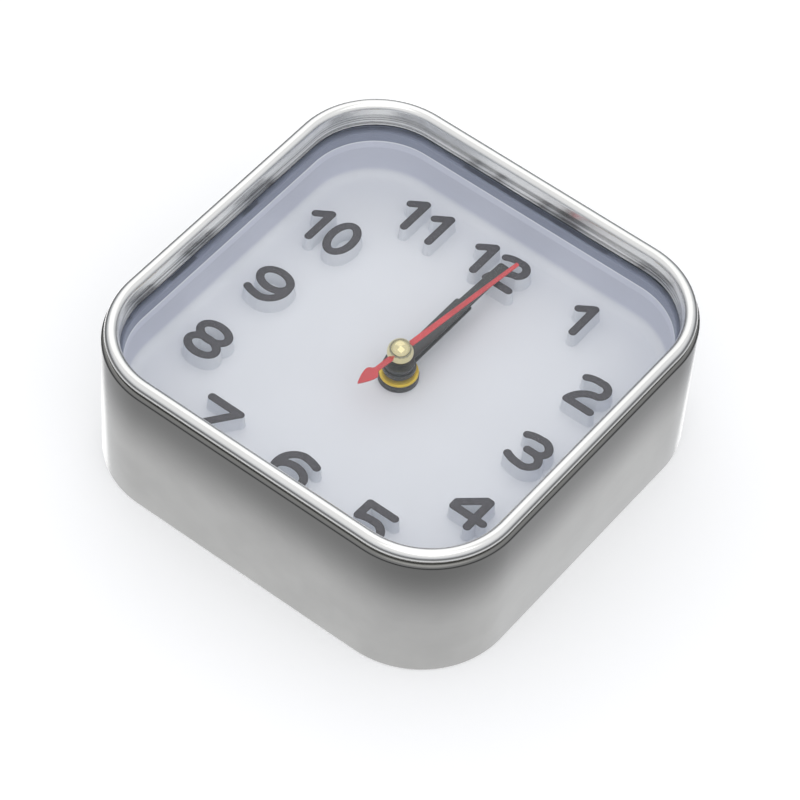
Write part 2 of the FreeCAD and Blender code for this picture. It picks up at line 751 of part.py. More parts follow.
def make_disc(label, z, outer, inner, height, chamfer="0"):
    """A washer or nut turned about the hand axis, its top outer edge bevelled by chamfer."""
    body = new_body(label, z=z)
    points = [(inner, "0"), (outer, "0"), (outer, "(%s) - (%s)" % (height, chamfer)),
              ("(%s) - (%s)" % (outer, chamfer), height), (inner, height)]
    if chamfer == "0":
        points.pop(3)
        points[2] = (outer, height)
    turn(body, outline(body, label + "_section", points, "XZ_Plane"))
    return body


# Movement: housing, cover and plate.

def leg_spots():
    """Four legs between the housing and the bearing plate, near the plate's corners."""
    sides = ("leg_inset - plate_left", "plate_right - leg_inset")
    ends = ("leg_inset - plate_low", "plate_high - leg_inset")
    return [(x, y) for x in sides for y in ends]


def make_movement_housing():
    """A shallow box, open to the back, with a battery wall, wheel post, legs and the threaded bush."""
    body = new_body("movement_housing")
    depth = "chamber_front - chamber_back"
    box = rounded_square(body, "housing_outline", "movement_half", "movement_corner", "chamber_back")
    pad(body, box, "movement_front - chamber_back")
    inside = rounded_square(body, "housing_inside", "chamber_half", "movement_corner - movement_wall",
                            "chamber_back")
    pocket(body, inside, depth, "Chamber", up=True)
    wall = box_outline(body, "bay_wall_outline", ("0 - chamber_half", "bay_top"),
                       ("chamber_half", "bay_top + bay_wall"), lift="chamber_back")
    pad(body, wall, depth, "BayWall")
    legs = circles(body, "plate_legs", [(x, y, "leg_radius") for x, y in leg_spots()], lift="plate_top")
    pad(body, legs, "chamber_front - plate_top", "Legs")
    post = circles(body, "wheel_post", [MINUTE_WORK + ("thin_arbor_radius",)],
                   lift="motion_level - free_gap")
    pad(body, post, "chamber_front - motion_level + free_gap", "WheelPost")
    bush = circles(body, "bush", [("0", "0", "bush_radius")], lift="movement_front")
    pad(body, bush, "dial_face + bush_rise - movement_front", "Bush")
    bore = circles(body, "bush_bore", [("0", "0", "hour_tube_radius + running_fit")], lift="chamber_front")
    pocket(body, bore, "dial_face + bush_rise - chamber_front", "Bore", up=True)
    pivots = circles(body, "upper_pivots", [
        THIRD + ("thin_arbor_radius + running_fit",),
        KNOB + ("knob_shaft_radius + running_fit",),
    ], lift="chamber_front")
    pocket(body, pivots, "pivot_depth + running_fit", "Pivots", up=True)
    return body


def make_movement_cover():
    """The rear plate of the movement: battery opening, pivots, stator posts and board pads."""
    body = new_body("movement_cover")
    plate = rounded_square(body, "cover_plate", "movement_half", "movement_corner", "movement_back")
    pad(body, plate, "movement_skin")
    opening = box_outline(body, "battery_opening", ("contact_sheet - chamber_half", "0 - chamber_half"),
                          ("chamber_half - contact_sheet", "bay_top"), lift="movement_back")
    pocket(body, opening, "movement_skin", "BatteryOpening", up=True)
    holes = circles(body, "knob_hole", [KNOB + ("knob_shaft_radius + running_fit",)], lift="movement_back")
    pocket(body, holes, "movement_skin", "KnobHole", up=True)
    pivot = "thin_arbor_radius + running_fit"
    pivots = circles(body, "lower_pivots", [
        ("0", "0", pivot), THIRD + (pivot,), INTERMEDIATE + (pivot,), ROTOR + (pivot,)],
        lift="chamber_back")
    pocket(body, pivots, "pivot_depth + running_fit", "Pivots")
    posts = circles(body, "stator_posts", [
        ("stator_leg / 2 - stator_left", "stator_top - stator_leg / 2", "leg_radius"),
        ("stator_right - stator_bar / 2", "(stator_top + stator_low) / 2", "stator_bar / 2"),
    ], lift="chamber_back")
    pad(body, posts, "stator_level - chamber_back", "StatorPosts")
    pads = circles(body, "board_pads", [
        ("board_left + leg_inset", "leg_inset - board_low", "leg_radius"),
        ("board_left + board_width - leg_inset", "board_length - board_low - leg_inset", "leg_radius"),
    ], lift="chamber_back")
    pad(body, pads, "board_level - chamber_back", "BoardPads")
    return body


def make_bearing_plate():
    body = new_body("bearing_plate", z="plate_bottom")
    sheet_outline = box_outline(body, "plate_outline", ("0 - plate_left", "0 - plate_low"),
                                ("plate_right", "plate_high"))
    pad(body, sheet_outline, "plate_thickness")
    pivot = "thin_arbor_radius + running_fit"
    through = circles(body, "through_holes", [
        ("0", "0", pivot), THIRD + (pivot,), KNOB + ("knob_shaft_radius + running_fit",)])
    pocket(body, through, "plate_thickness", "Through", up=True)
    blind = circles(body, "blind_pivots", [INTERMEDIATE + (pivot,), ROTOR + (pivot,)])
    pocket(body, blind, "pivot_depth + running_fit", "Blind", up=True)
    return body


# Motor and circuit.

def make_motor_stator():
    """A soft-iron loop: coil bar, left leg with the rotor hole, lower bar and right leg."""
    body = new_body("motor_stator", z="stator_level")
    frame = outline(body, "stator_frame", [
        ("0 - stator_left", "stator_low"),
        ("stator_right", "stator_low"),
        ("stator_right", "stator_top"),
        ("0 - stator_left", "stator_top"),
    ])
    pad(body, frame, "stator_thickness")
    space = box_outline(body, "stator_space", ("stator_leg - stator_left", "stator_low + stator_bar"),
                        ("stator_right - stator_bar", "stator_top - stator_bar"))
    pocket(body, space, "stator_thickness", "Space", up=True)
    ring = circles(body, "stator_ring", [ROTOR + ("stator_ring",)])
    pad(body, ring, "stator_thickness", "Ring")
    hole = circles(body, "rotor_hole", [ROTOR + ("rotor_radius + free_gap",)])
    pocket(body, hole, "stator_thickness", "RotorHole", up=True)
    return body


def make_coil_bobbin():
    body = new_body("coil_bobbin", y="coil_y", z="coil_z")
    ends = "coil_length / 2 + coil_flange"
    core = circles(body, "bobbin_core", [("0", "0", "coil_core_radius")], "YZ_Plane", "0 - (%s)" % ends)
    pad(body, core, "2 * (%s)" % ends)
    for name, lift in (("near_flange", "0 - (%s)" % ends), ("far_flange", "coil_length / 2")):
        flange = circles(body, name, [("0", "0", "coil_flange_radius")], "YZ_Plane", lift)
        pad(body, flange, "coil_flange", name.title())
    slot = box_outline(body, "bobbin_slot", ("0 - stator_bar / 2", "0 - stator_thickness / 2"),
                       ("stator_bar / 2", "stator_thickness / 2"), "YZ_Plane", "0 - (%s)" % ends)
    pocket(body, slot, "2 * (%s)" % ends, "Slot", up=True)
    return body


def make_coil_winding():
    body = new_body("coil_winding", y="coil_y", z="coil_z")
    lift = "0 - coil_length / 2"
    copper = circles(body, "winding", [("0", "0", "coil_radius")], "YZ_Plane", lift)
    pad(body, copper, "coil_length")
    core = circles(body, "winding_core", [("0", "0", "coil_core_radius")], "YZ_Plane", lift)
    pocket(body, core, "coil_length", "Core", up=True)
    return body


def make_circuit_board():
    body = new_body("circuit_board", z="board_level")
    board = box_outline(body, "board_outline", ("board_left", "0 - board_low"),
                        ("board_left + board_width", "board_length - board_low"))
    pad(body, board, "board_thickness")
    return body


def make_quartz_can():
    """A small can lying on the board, along the clock's height."""
    body = new_body("quartz_can", x="board_left + board_width * 3 / 4", y="board_length / 2 - leg_inset",
                    z="board_level + board_thickness + quartz_radius + running_fit")
    can = circles(body, "can_outline", [("0", "0", "quartz_radius")], "XZ_Plane")
    pad(body, can, "quartz_length")
    return body


def make_control_chip():
    body = new_body("control_chip", x="board_left + board_width / 2", z="board_level + board_thickness")
    section = outline(body, "chip_section", [
        ("0", "0"),
        ("chip_radius", "0"),
        ("chip_radius - chip_height / 2", "chip_height"),
        ("0", "chip_height"),
    ], "XZ_Plane")
    turn(body, section)
    return body


# Battery and contacts.

def make_contact(label, x, y, dome, reach, towards_left):
    """A standing strip with a round dome pressed towards the cell."""
    body = new_body(label, x=x, y=y, z="chamber_back")
    strip = box_outline(body, label + "_strip", ("0", "0 - contact_width / 2"),
                        ("contact_sheet", "contact_width / 2"))
    pad(body, strip, "chamber_front - chamber_back")
    lift = "0" if towards_left else "contact_sheet"
    disc = circles(body, label + "_dome", [("0", "cell_z - chamber_back", dome)], "YZ_Plane", lift)
    pad(body, disc, reach, "Dome", down=towards_left)
    return body


def make_battery():
    body = new_body("battery", x="cell_left", y="cell_y", z="cell_z")
    can = circles(body, "cell_outline", [("0", "0", "cell_radius")], "YZ_Plane")
    pad(body, can, "cell_length")
    button = circles(body, "cell_button", [("0", "0", "cell_button_radius")], "YZ_Plane", "cell_length")
    pad(body, button, "cell_button_length", "Button")
    return body


# Wheels.

# Half widths of a tooth at its root and tip, as shares, chosen by hand, of the tooth pitch; and
# the depth of the root and height of the tip, as shares, chosen by hand, of the module.
ROOT_SHARE, TIP_SHARE = 0.26, 0.11
DEPTH_SHARE, HEIGHT_SHARE = 1.1, 0.8


def gear(teeth, module, phase, low, high):
    """A toothed disc between two levels; phase is the direction of one tooth in degrees."""
    count = int(value(teeth))
    size = value(module)
    radius = count * size / 2
    pitch = 2 * math.pi / count
    points = []
    for k in range(count):
        middle = math.radians(phase) + k * pitch
        for reach, share in ((-DEPTH_SHARE, -ROOT_SHARE), (HEIGHT_SHARE, -TIP_SHARE),
                             (HEIGHT_SHARE, TIP_SHARE), (-DEPTH_SHARE, ROOT_SHARE)):
            angle = middle + share * pitch
            length = radius + reach * size
            points.append(FreeCAD.Vector(length * math.cos(angle), length * math.sin(angle), value(low)))
    disc = Part.Face(Part.makePolygon(points + points[:1]))
    return disc.extrude(FreeCAD.Vector(0, 0, value(high) - value(low)))


def rod(radius, low, high):
    base = FreeCAD.Vector(0, 0, value(low))
    return Part.makeCylinder(value(radius), value(high) - value(low), base)


def wheel(label, pieces, centre=("0", "0"), bore=None):
    """Fuses toothed discs and rods of one arbor into one piece, and bores it where it is hollow."""
    shape = pieces[0].multiFuse(pieces[1:]) if len(pieces) > 1 else pieces[0]
    if bore is not None:
        shape = shape.cut(bore)
    item = doc.addObject("Part::Feature", label)
    item.Label = label
    item.Shape = shape.removeSplitter()
    stand_up(item, centre[0], centre[1])
    return item


def mate_phase(bearing, teeth, phase, mate_teeth):
    """Direction of a tooth of the mate, so that its gap meets a tooth; bearing runs to the mate."""
    share = (value(bearing) - phase) * value(teeth) / 360
    return value(bearing) + 180 - (0.5 - share) * 360 / value(mate_teeth)


def make_wheels():
    """The running train from the rotor to the centre wheel, and the motion works."""
    wheel_top = " + wheel_thickness"
    seconds_phase = 0.0
    pinion_phase = mate_phase("intermediate_bearing", "seconds_teeth", seconds_phase,
                              "intermediate_pinion_teeth")
    wheel("intermediate_wheel", [
        gear("intermediate_teeth", "fast_module", 0.0, "fast_wheel_level", "fast_wheel_level" + wheel_top),
        gear("intermediate_pinion_teeth", "fast_module", pinion_phase, "fast_wheel_level",
             "seconds_wheel_level + wheel_thickness + free_gap"),
        rod("thin_arbor_radius", "lower_pivot", "plate_pivot"),
    ], INTERMEDIATE)
    rotor_phase = mate_phase("rotor_bearing", "intermediate_teeth", 0.0, "rotor_pinion_teeth")
    wheel("motor_rotor", [
        gear("rotor_pinion_teeth", "fast_module", rotor_phase, "fast_wheel_level - free_gap",
             "seconds_wheel_level"),
        rod("rotor_radius", "seconds_wheel_level", "seconds_wheel_level + rotor_length"),
        rod("thin_arbor_radius", "lower_pivot", "plate_pivot"),
    ], ROTOR)
    wheel("seconds_wheel", [
        gear("seconds_teeth", "fast_module", seconds_phase, "seconds_wheel_level",
             "seconds_wheel_level" + wheel_top),
        gear("seconds_pinion_teeth", "third_module", 0.0, "seconds_wheel_level",
             "third_wheel_level + wheel_thickness + free_gap"),
        rod("needle_arbor_radius", "lower_pivot", "seconds_level + cap_radius / 2"),
    ])
    third_phase = mate_phase("third_bearing", "seconds_pinion_teeth", 0.0, "third_teeth")
    wheel("third_wheel", [
        gear("third_teeth", "third_module", third_phase, "third_wheel_level",
             "third_wheel_level" + wheel_top),
        gear("third_pinion_teeth", "centre_module", 0.0, "centre_wheel_level - free_gap",
             "centre_wheel_level + wheel_thickness + free_gap"),
        rod("thin_arbor_radius", "lower_pivot", "upper_pivot"),
    ], THIRD)
    centre_phase = mate_phase("third_bearing + 180", "third_pinion_teeth", 0.0, "centre_teeth")
    wheel("centre_wheel", [
        gear("centre_teeth", "centre_module", centre_phase, "centre_wheel_level",
             "centre_wheel_level" + wheel_top),
    ], bore=rod("minute_tube_radius + running_fit", "plate_top", "motion_level"))
    cannon_phase = mate_phase("minute_work_bearing + 180", "minute_work_teeth", 0.0, "cannon_teeth")
    wheel("minute_tube", [
        gear("cannon_teeth", "motion_module", cannon_phase, "motion_level - free_gap / 2",
             "motion_level + wheel_thickness + free_gap / 2"),
        rod("minute_tube_radius", "plate_top + free_gap", "minute_hub_level + minute_hub_height"),
    ], bore=rod("needle_arbor_radius + running_fit", "plate_top", "seconds_level"))
    wheel("minute_work_wheel", [
        gear("minute_work_teeth", "motion_module", 0.0, "motion_level", "motion_level" + wheel_top),
        gear("minute_work_pinion_teeth", "hour_module", 0.0, "motion_level",
             "chamber_front - free_gap"),
    ], MINUTE_WORK, rod("thin_arbor_radius + running_fit", "centre_wheel_level", "movement_front"))
    hour_phase = mate_phase("minute_work_bearing + 180", "minute_work_pinion_teeth", 0.0, "hour_teeth")
    wheel("hour_wheel", [
        gear("hour_teeth", "hour_module", hour_phase, "hour_wheel_level", "hour_wheel_level" + wheel_top),
        rod("hour_tube_radius", "hour_wheel_level", "hour_hub_level + hour_hub_height"),
    ], bore=rod("minute_tube_radius + running_fit", "motion_level", "seconds_level"))
    knob_phase = mate_phase("knob_bearing", "minute_work_teeth", 0.0, "knob_teeth")
    grooved = rod("knob_radius", "knob_level", "knob_level + knob_height")
    groove = rod("knob_groove_radius", "knob_level", "knob_level + knob_height")
    groove.translate(FreeCAD.Vector(value("knob_radius"), 0, 0))
    grooves = []
    for k in range(24):
        turned_groove = groove.copy()
        turned_groove.rotate(FreeCAD.Vector(), FreeCAD.Vector(0, 0, 1), 360 * k / 24)
        grooves.append(turned_groove)
    wheel("setting_knob", [
        grooved.cut(grooves),
        rod("knob_shaft_radius", "knob_level", "upper_pivot"),
        gear("knob_teeth", "motion_module", knob_phase, "motion_level", "motion_level" + wheel_top),
    ], KNOB)


# Hands.

def make_baton_hand(label, level, hub, tube, height, blade_lift, length, root, tip, corner, reading):
    """A round hub pressed on a tube, and a flat blade with bevelled tip corners."""
    body = new_body(label)
    stand_up(body, z=level, turn=reading)
    bore = "(%s) + running_fit / 2" % tube
    section = outline(body, label + "_hub", [(bore, "0"), (hub, "0"), (hub, height), (bore, height)],
                      "XZ_Plane")
    turn(body, section, "Hub")
    start = "(%s) * 4 / 5" % hub
    blade = outline(body, label + "_blade", [
        ("(%s) / 2" % root, start),
        ("(%s) / 2" % tip, "(%s) - (%s)" % (length, corner)),
        ("(%s) / 2 - (%s) * 2 / 3" % (tip, corner), length),
        ("(%s) * 2 / 3 - (%s) / 2" % (corner, tip), length),
        ("0 - (%s) / 2" % tip, "(%s) - (%s)" % (length, corner)),
        ("0 - (%s) / 2" % root, start),
    ], lift=blade_lift)
    pad(body, blade, "blade_thickness", "Blade")
    return body


def make_seconds_hand():
    """A thin tapered bar with a spade-shaped tail, pierced for the arbor."""
    body = new_body("seconds_hand")
    stand_up(body, z="seconds_level - blade_thickness / 2", turn="seconds_reading")
    head = "0 - tail_length + tail_head_length"
    widest = "0 - tail_length + tail_head_length * 4 / 5"
    right = [
        ("needle_tip_width / 2", "needle_length"),
        ("needle_root_width / 2", "cap_radius"),
        ("needle_root_width / 2", "0 - cap_radius"),
        ("tail_neck_width / 2", head),
        ("tail_head_width / 2", widest),
        ("tail_head_width / 5", "0 - tail_length + tail_head_length / 4"),
    ]
    left = [("0 - (%s)" % x, y) for x, y in reversed(right)]
    blade = outline(body, "seconds_blade", right + [("0", "0 - tail_length")] + left)
    pad(body, blade, "blade_thickness")
    hole = circles(body, "seconds_hole", [("0", "0", "needle_arbor_radius + running_fit / 2")])
    pocket(body, hole, "blade_thickness", "Hole", up=True)
    return body


def make_hand_cap():
    """A ball on the end of the seconds arbor, slotted for the seconds hand."""
    body = new_body("hand_cap")
    stand_up(body, z="seconds_level", turn="seconds_reading")
    section = outline(body, "cap_section", [
        ("0", "0 - cap_radius", "cap_radius / sqrt(2)", "0 - cap_radius / sqrt(2)", "cap_radius"),
        ("cap_radius", "0", "cap_radius / sqrt(2)", "cap_radius / sqrt(2)", "cap_radius"),
        ("0", "cap_radius"),
    ], "XZ_Plane")
    turn(body, section, "Ball")
    half_height = "blade_thickness / 2 + running_fit"
    half_width = "needle_root_width / 2 + running_fit"
    slot = box_outline(body, "cap_slot", ("0 - (%s)" % half_width, "0 - cap_radius"),
                       (half_width, "cap_radius"), lift="0 - (%s)" % half_height)
    pocket(body, slot, "2 * (%s)" % half_height, "Slot", up=True)
    bore = circles(body, "cap_bore", [("0", "0", "needle_arbor_radius + running_fit / 2")],
                   lift="0 - cap_radius")
    pocket(body, bore, "cap_radius * 3 / 2 + running_fit", "Bore", up=True)
    return body


def build():
    """Makes every piece in the order of assembly and returns the pieces that are written."""
    fill_sheet()
    make_case_shell()
    make_bezel_ring()
    make_front_glass()
    make_glass_gasket()
    make_spacer_ring()
    make_dial()
    make_back_cover()
    make_cover_screws()
    collar_hole = "bush_radius + bush_fit / 2"
    make_disc("front_collar", "dial_face", "front_collar_radius", collar_hole, "front_collar_height")
    make_disc("shaft_nut", "dial_face + front_collar_height", "nut_radius", "bush_radius + running_fit",
              "nut_height", "nut_chamfer")
    make_disc("rear_washer", "movement_front", "washer_radius", "bush_radius + bush_fit",
              "washer_thickness")
    make_movement_housing()
    make_movement_cover()
    make_bearing_plate()
    make_motor_stator()
    make_coil_bobbin()
    make_coil_winding()
    make_circuit_board()
    make_quartz_can()
    make_control_chip()
    make_contact("contact_positive", "chamber_half - contact_sheet", "cell_y", "cell_button_radius",
                 "free_gap", True)
    make_contact("contact_negative", "0 - chamber_half", "cell_y", "contact_dome_radius",
                 "contact_reach", False)
    make_battery()
    make_wheels()
    make_baton_hand("hour_hand", "hour_hub_level", "hour_hub_radius", "hour_tube_radius",
                    "hour_hub_height", "hour_blade_lift", "hour_length", "hour_width", "hour_width",
                    "hour_corner", "hour_reading")
    make_baton_hand("minute_hand", "minute_hub_level", "minute_hub_radius", "minute_tube_radius",
                    "minute_hub_height", "minute_blade_lift", "minute_length", "minute_root_width",
                    "minute_tip_width", "minute_corner", "minute_reading")
    make_seconds_hand()
    make_hand_cap()


NODES = (
    "case_shell", "bezel_ring", "front_glass", "glass_gasket", "spacer_ring", "dial", "back_cover",
    "cover_screws", "front_collar", "shaft_nut", "rear_washer", "movement_housing", "movement_cover",
    "bearing_plate", "motor_stator", "coil_bobbin", "coil_winding", "circuit_board", "quartz_can",
    "control_chip", "contact_positive", "contact_negative", "battery", "motor_rotor",
    "intermediate_wheel", "seconds_wheel", "third_wheel", "centre_wheel", "minute_tube",
    "minute_work_wheel", "hour_wheel", "setting_knob", "hour_hand", "minute_hand", "seconds_hand",
    "hand_cap",
)


def write_parts():
    """Checks every object, then writes one STEP file per piece."""
    doc.recompute()
    for item in doc.Objects:
        if "Invalid" in item.State or "Error" in item.State:
            raise RuntimeError("%s is not sound: %s" % (item.Label, item.State))
    os.makedirs("parts", exist_ok=True)
    for label in NODES:
        item = doc.getObjectsByLabel(label)[0]
        if item.Shape.isNull() or not item.Shape.isValid() or not item.Shape.Solids:
            raise RuntimeError("%s has no sound solid" % label)
        item.Shape.exportStep("parts/%s.step" % label)


build()
write_parts()
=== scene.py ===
"""A square table clock, dressed around its solid model: rim, dial, raised numerals and hands."""

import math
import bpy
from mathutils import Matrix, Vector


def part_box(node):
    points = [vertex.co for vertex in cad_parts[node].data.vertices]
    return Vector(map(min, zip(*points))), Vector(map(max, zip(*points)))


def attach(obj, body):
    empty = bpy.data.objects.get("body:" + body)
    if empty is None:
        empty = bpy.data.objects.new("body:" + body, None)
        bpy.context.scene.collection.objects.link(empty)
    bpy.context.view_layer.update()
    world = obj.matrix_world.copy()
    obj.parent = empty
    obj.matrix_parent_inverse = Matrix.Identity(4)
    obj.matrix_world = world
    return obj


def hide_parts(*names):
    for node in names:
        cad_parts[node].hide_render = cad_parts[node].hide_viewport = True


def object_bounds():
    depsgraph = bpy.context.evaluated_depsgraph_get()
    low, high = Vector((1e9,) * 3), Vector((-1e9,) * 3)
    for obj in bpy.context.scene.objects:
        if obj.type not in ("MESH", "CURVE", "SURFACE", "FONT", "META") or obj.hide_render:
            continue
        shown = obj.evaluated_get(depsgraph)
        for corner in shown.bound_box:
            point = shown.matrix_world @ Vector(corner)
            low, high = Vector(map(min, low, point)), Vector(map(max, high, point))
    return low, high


bl_info = {
    "name": "Square table clock",
    "version": (1, 0, 0),
    "blender": (4, 5, 0),
    "location": "3D View > Sidebar > Clock",
    "description": "Builds the visible pieces of a square table clock around its solid model",
    "category": "Add Mesh",
}

import bmesh
import bpy
import numpy as np
from mathutils import Matrix

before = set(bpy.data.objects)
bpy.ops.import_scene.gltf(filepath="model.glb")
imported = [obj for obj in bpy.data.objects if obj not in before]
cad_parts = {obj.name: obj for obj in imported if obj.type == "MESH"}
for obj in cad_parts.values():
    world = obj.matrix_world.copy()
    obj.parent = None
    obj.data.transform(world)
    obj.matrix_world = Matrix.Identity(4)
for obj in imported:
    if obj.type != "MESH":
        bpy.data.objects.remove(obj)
SOLID_BOX = [list(corner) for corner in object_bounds()]
MM = 0.001

# The clock is drawn lying on its back, in millimetres: x to three o'clock, y to twelve o'clock and
# z out of the dial from the rear rim. HALF_SIDE and BACK place it upright.
HALF_SIDE = (SOLID_BOX[1][0] - SOLID_BOX[0][0]) / 2 / MM
BACK = SOLID_BOX[1][1] / MM

# Levels above the rear rim, reaches from the middle and lengths, as in the solid model.
FACE = 25.65
DIAL_FLOOR = 1.6
DIAL_SKIN = 1.2
DIAL_FLANGE = 39.95
DIAL_STEP = 2.4
DIAL_WALL = 64.95
DIAL_FOOT = 64.2
DIAL_OUTER = 70.3
RIM_WALL_DROP = 6.2
RIM_WALL_LEAN = 0.5
RIM_WALL_SHEET = 1.2
CASE_LIP = 4.0
CASE_FLANGE = 4.1
PAD_WIDTH = 1.8
PAD_HEIGHT = 0.5
POST_REACH = 47.0
POST_END = 12.05
COLLAR_HEIGHT = 2.3
NUT_HEIGHT = 0.9
HOUR_LEVEL = FACE + 4.5
MINUTE_LEVEL = FACE + 6.35
SECONDS_LEVEL = FACE + 12.0


def srgb(red, green, blue):
    """A linear colour from display values of 0 to 255, by the display curve of power 2.4."""
    shares = np.array([red, green, blue]) / 255
    linear = np.where(shares <= 0.04045, shares / 12.92, ((shares + 0.055) / 1.055) ** 2.4)
    return tuple(float(share) for share in linear)


# Settings that a user would change.

def length(name, default_mm, description):
    return bpy.props.FloatProperty(name=name, description=description, default=default_mm * MM,
                                   min=0.0, unit="LENGTH", subtype="DISTANCE", precision=5)


def colour(name, default, description):
    return bpy.props.FloatVectorProperty(name=name, description=description, default=default,
                                         size=3, min=0.0, max=1.0, subtype="COLOR")


class ClockSizes(bpy.types.PropertyGroup):
    """Sizes of the visible pieces."""
    bead_half: length("Bead half side", 68.45, "From the middle to the bead's centre line")
    bead_corner: length("Bead corner", 27.35, "Corner radius of the bead's centre line")
    bead_radius: length("Bead radius", 2.15, "Radius of the round bead of the rim")
    sheet: length("Sheet", 0.8, "Thickness of the case band")
    shoulder: length("Shoulder", 1.2, "Radius of the band's front edge")
    numeral_rise: length("Numeral rise", 5.0, "Height of the numerals above the dial")
    numeral_stroke: length("Numeral stroke", 2.7, "Width of the numerals' strokes")
    cap_radius: length("Cap radius", 4.05, "Radius of the ball on the seconds hand")
    hour_width: length("Hour hand width", 6.0, "Width of the hour hand")
    blade: length("Hand thickness", 0.5, "Thickness of the hands' blades")


class ClockColours(bpy.types.PropertyGroup):
    """Colours of the finishes."""
    case_metal: colour("Case metal", srgb(196, 195, 190), "Satin plated band")
    bezel_metal: colour("Rim metal", srgb(248, 247, 243), "Satin bright rim")
    inner_wall: colour("Inner wall", srgb(150, 157, 176), "Blue-grey wall behind the glass")
    dial: colour("Dial", srgb(234, 236, 240), "White moulded dial")
    print_ink: colour("Numeral ink", srgb(60, 58, 64), "Dark printing on the numerals' tops")
    numeral_side: colour("Numeral sides", srgb(222, 225, 230), "Unprinted sides of the numerals")
    hands: colour("Hands", srgb(32, 36, 36), "Hour and minute hands")
    seconds: colour("Seconds hand", srgb(212, 54, 60), "Seconds hand")
    nut: colour("Nut", srgb(240, 204, 44), "Yellow brass nut")
    cap: colour("Ball cap", srgb(238, 226, 176), "Pale gold ball")
    cover: colour("Back cover", srgb(196, 198, 202), "Moulded back cover")


def sizes():
    """The sizes in millimetres, by name."""
    group = bpy.context.scene.clock_sizes
    return {key: getattr(group, key) / MM for key in ClockSizes.__annotations__}


def tints():
    group = bpy.context.scene.clock_colours
    return {key: tuple(getattr(group, key)) for key in ClockColours.__annotations__}


def extent(node):
    """Half width of a solid piece, and the levels of its back and front, in millimetres."""
    low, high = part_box(node)
    return (high[0] - low[0]) / 2 / MM, BACK - high[1] / MM, BACK - low[1] / MM


# Surfaces.

def stand(points):
    """Lying millimetres as upright metres: (x, y, z) goes to (x, BACK - z, HALF_SIDE + y)."""
    points = np.asarray(points, float)
    upright = [points[..., 0], BACK - points[..., 2], HALF_SIDE + points[..., 1]]
    return np.stack(upright, -1) * MM


def grid(points, wrap_u=False, wrap_v=False):
    """Quads between neighbours of a grid of points; a wrapped direction joins end to start."""
    rows, columns = points.shape[:2]
    index = np.arange(rows * columns).reshape(rows, columns)
    if wrap_u:
        index = np.vstack([index, index[:1]])
    if wrap_v:
        index = np.hstack([index, index[:, :1]])
    quads = np.stack([index[:-1, :-1], index[1:, :-1], index[1:, 1:], index[:-1, 1:]], -1)
    return points.reshape(-1, 3), quads.reshape(-1, 4)


def join(*parts):
    """Puts several (points, faces) sets together, each set's faces counted on from the last."""
    points, faces, start = [], [], 0
    for some_points, some_faces in parts:
        points.append(some_points)
        faces += [tuple(face) for face in (np.asarray(some_faces) + start).tolist()]
        start += len(some_points)
    return np.vstack(points), faces


def linked(name, data):
    """Puts an object with this mesh, light or camera into the scene."""
    thing = bpy.data.objects.new(name, data)
    bpy.context.scene.collection.objects.link(thing)
    return thing


def dress(mesh, finish, body, slot, *replaced, crease):
    """Shades a mesh, puts it into the scene and lets it ride on a body."""
    mesh.shade_smooth()
    mesh.set_sharp_from_angle(angle=math.radians(crease))
    mesh.materials.append(finish)
    thing = linked(mesh.name, mesh)
    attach(thing, body)
    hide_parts(*replaced)


def piece(name, shape, finish, body, slot, *replaced, crease=35):
    """Makes one closed mesh, welds its seams, turns its faces outwards and dresses it."""
    points, faces = shape
    mesh = bpy.data.meshes.new(name)
    faces = faces if isinstance(faces, list) else faces.tolist()
    mesh.from_pydata(stand(points).tolist(), [], faces)
    work = bmesh.new()
    work.from_mesh(mesh)
    bmesh.ops.remove_doubles(work, verts=work.verts, dist=0.002 * MM)
    bmesh.ops.dissolve_degenerate(work, edges=work.edges, dist=0.001 * MM)
    bmesh.ops.recalc_face_normals(work, faces=work.faces)
    work.to_mesh(mesh)
    work.free()
    dress(mesh, finish, body, slot, *replaced, crease=crease)


def rounded(corners, steps=6):
    """A closed outline of (x, z, radius) corners, each corner made an arc that touches both sides.

    The arc's ends lie radius / tan(half the corner's angle) from the corner, and its middle lies
    radius / sin(half the angle) from it, along the bisector.
    """
    places = np.array([corner[:2] for corner in corners], float)
    out = []
    for k, (here, radius) in enumerate(zip(places, [corner[2] for corner in corners])):
        if radius == 0:
            out.append(here[None])
            continue
        back = places[k - 1] - here
        ahead = places[(k + 1) % len(places)] - here
        back, ahead = back / np.linalg.norm(back), ahead / np.linalg.norm(ahead)
        half = math.acos(np.clip(back @ ahead, -1, 1)) / 2
        bisector = (back + ahead) / np.linalg.norm(back + ahead)
        middle = here + bisector * radius / math.sin(half)
        first = here + back * radius / math.tan(half) - middle
        last = here + ahead * radius / math.tan(half) - middle
        sweep = math.pi - 2 * half
        share = np.linspace(0, 1, steps + 1)[:, None]
        out.append(middle + (np.sin((1 - share) * sweep) * first + np.sin(share * sweep) * last)
                   / math.sin(sweep))
    return np.vstack(out)


def square_path(size, per_corner=28, per_side=6):
    """A rounded square as (feet, normals): each point is foot + normal * distance.

    The feet run round the square of the corner arcs' centres; the normals turn by a quarter at
    each of its corners and stay still along its sides.
    """
    core = size["bead_half"] - size["bead_corner"]
    feet, normals = [], []
    along = np.linspace(-1, 1, per_side + 1)[1:-1]
    for quarter in range(4):
        turn = quarter * math.pi / 2
        across = np.array([math.cos(turn), math.sin(turn)])
        upward = np.array([-math.sin(turn), math.cos(turn)])
        feet.append((across + upward * along[:, None]) * core)
        normals.append(np.tile(across, (len(along), 1)))
        angles = turn + np.linspace(0, math.pi / 2, per_corner + 1)
        feet.append(np.tile((across + upward) * core, (len(angles), 1)))
        normals.append(np.stack([np.cos(angles), np.sin(angles)], -1))
    return np.vstack(feet), np.vstack(normals), core


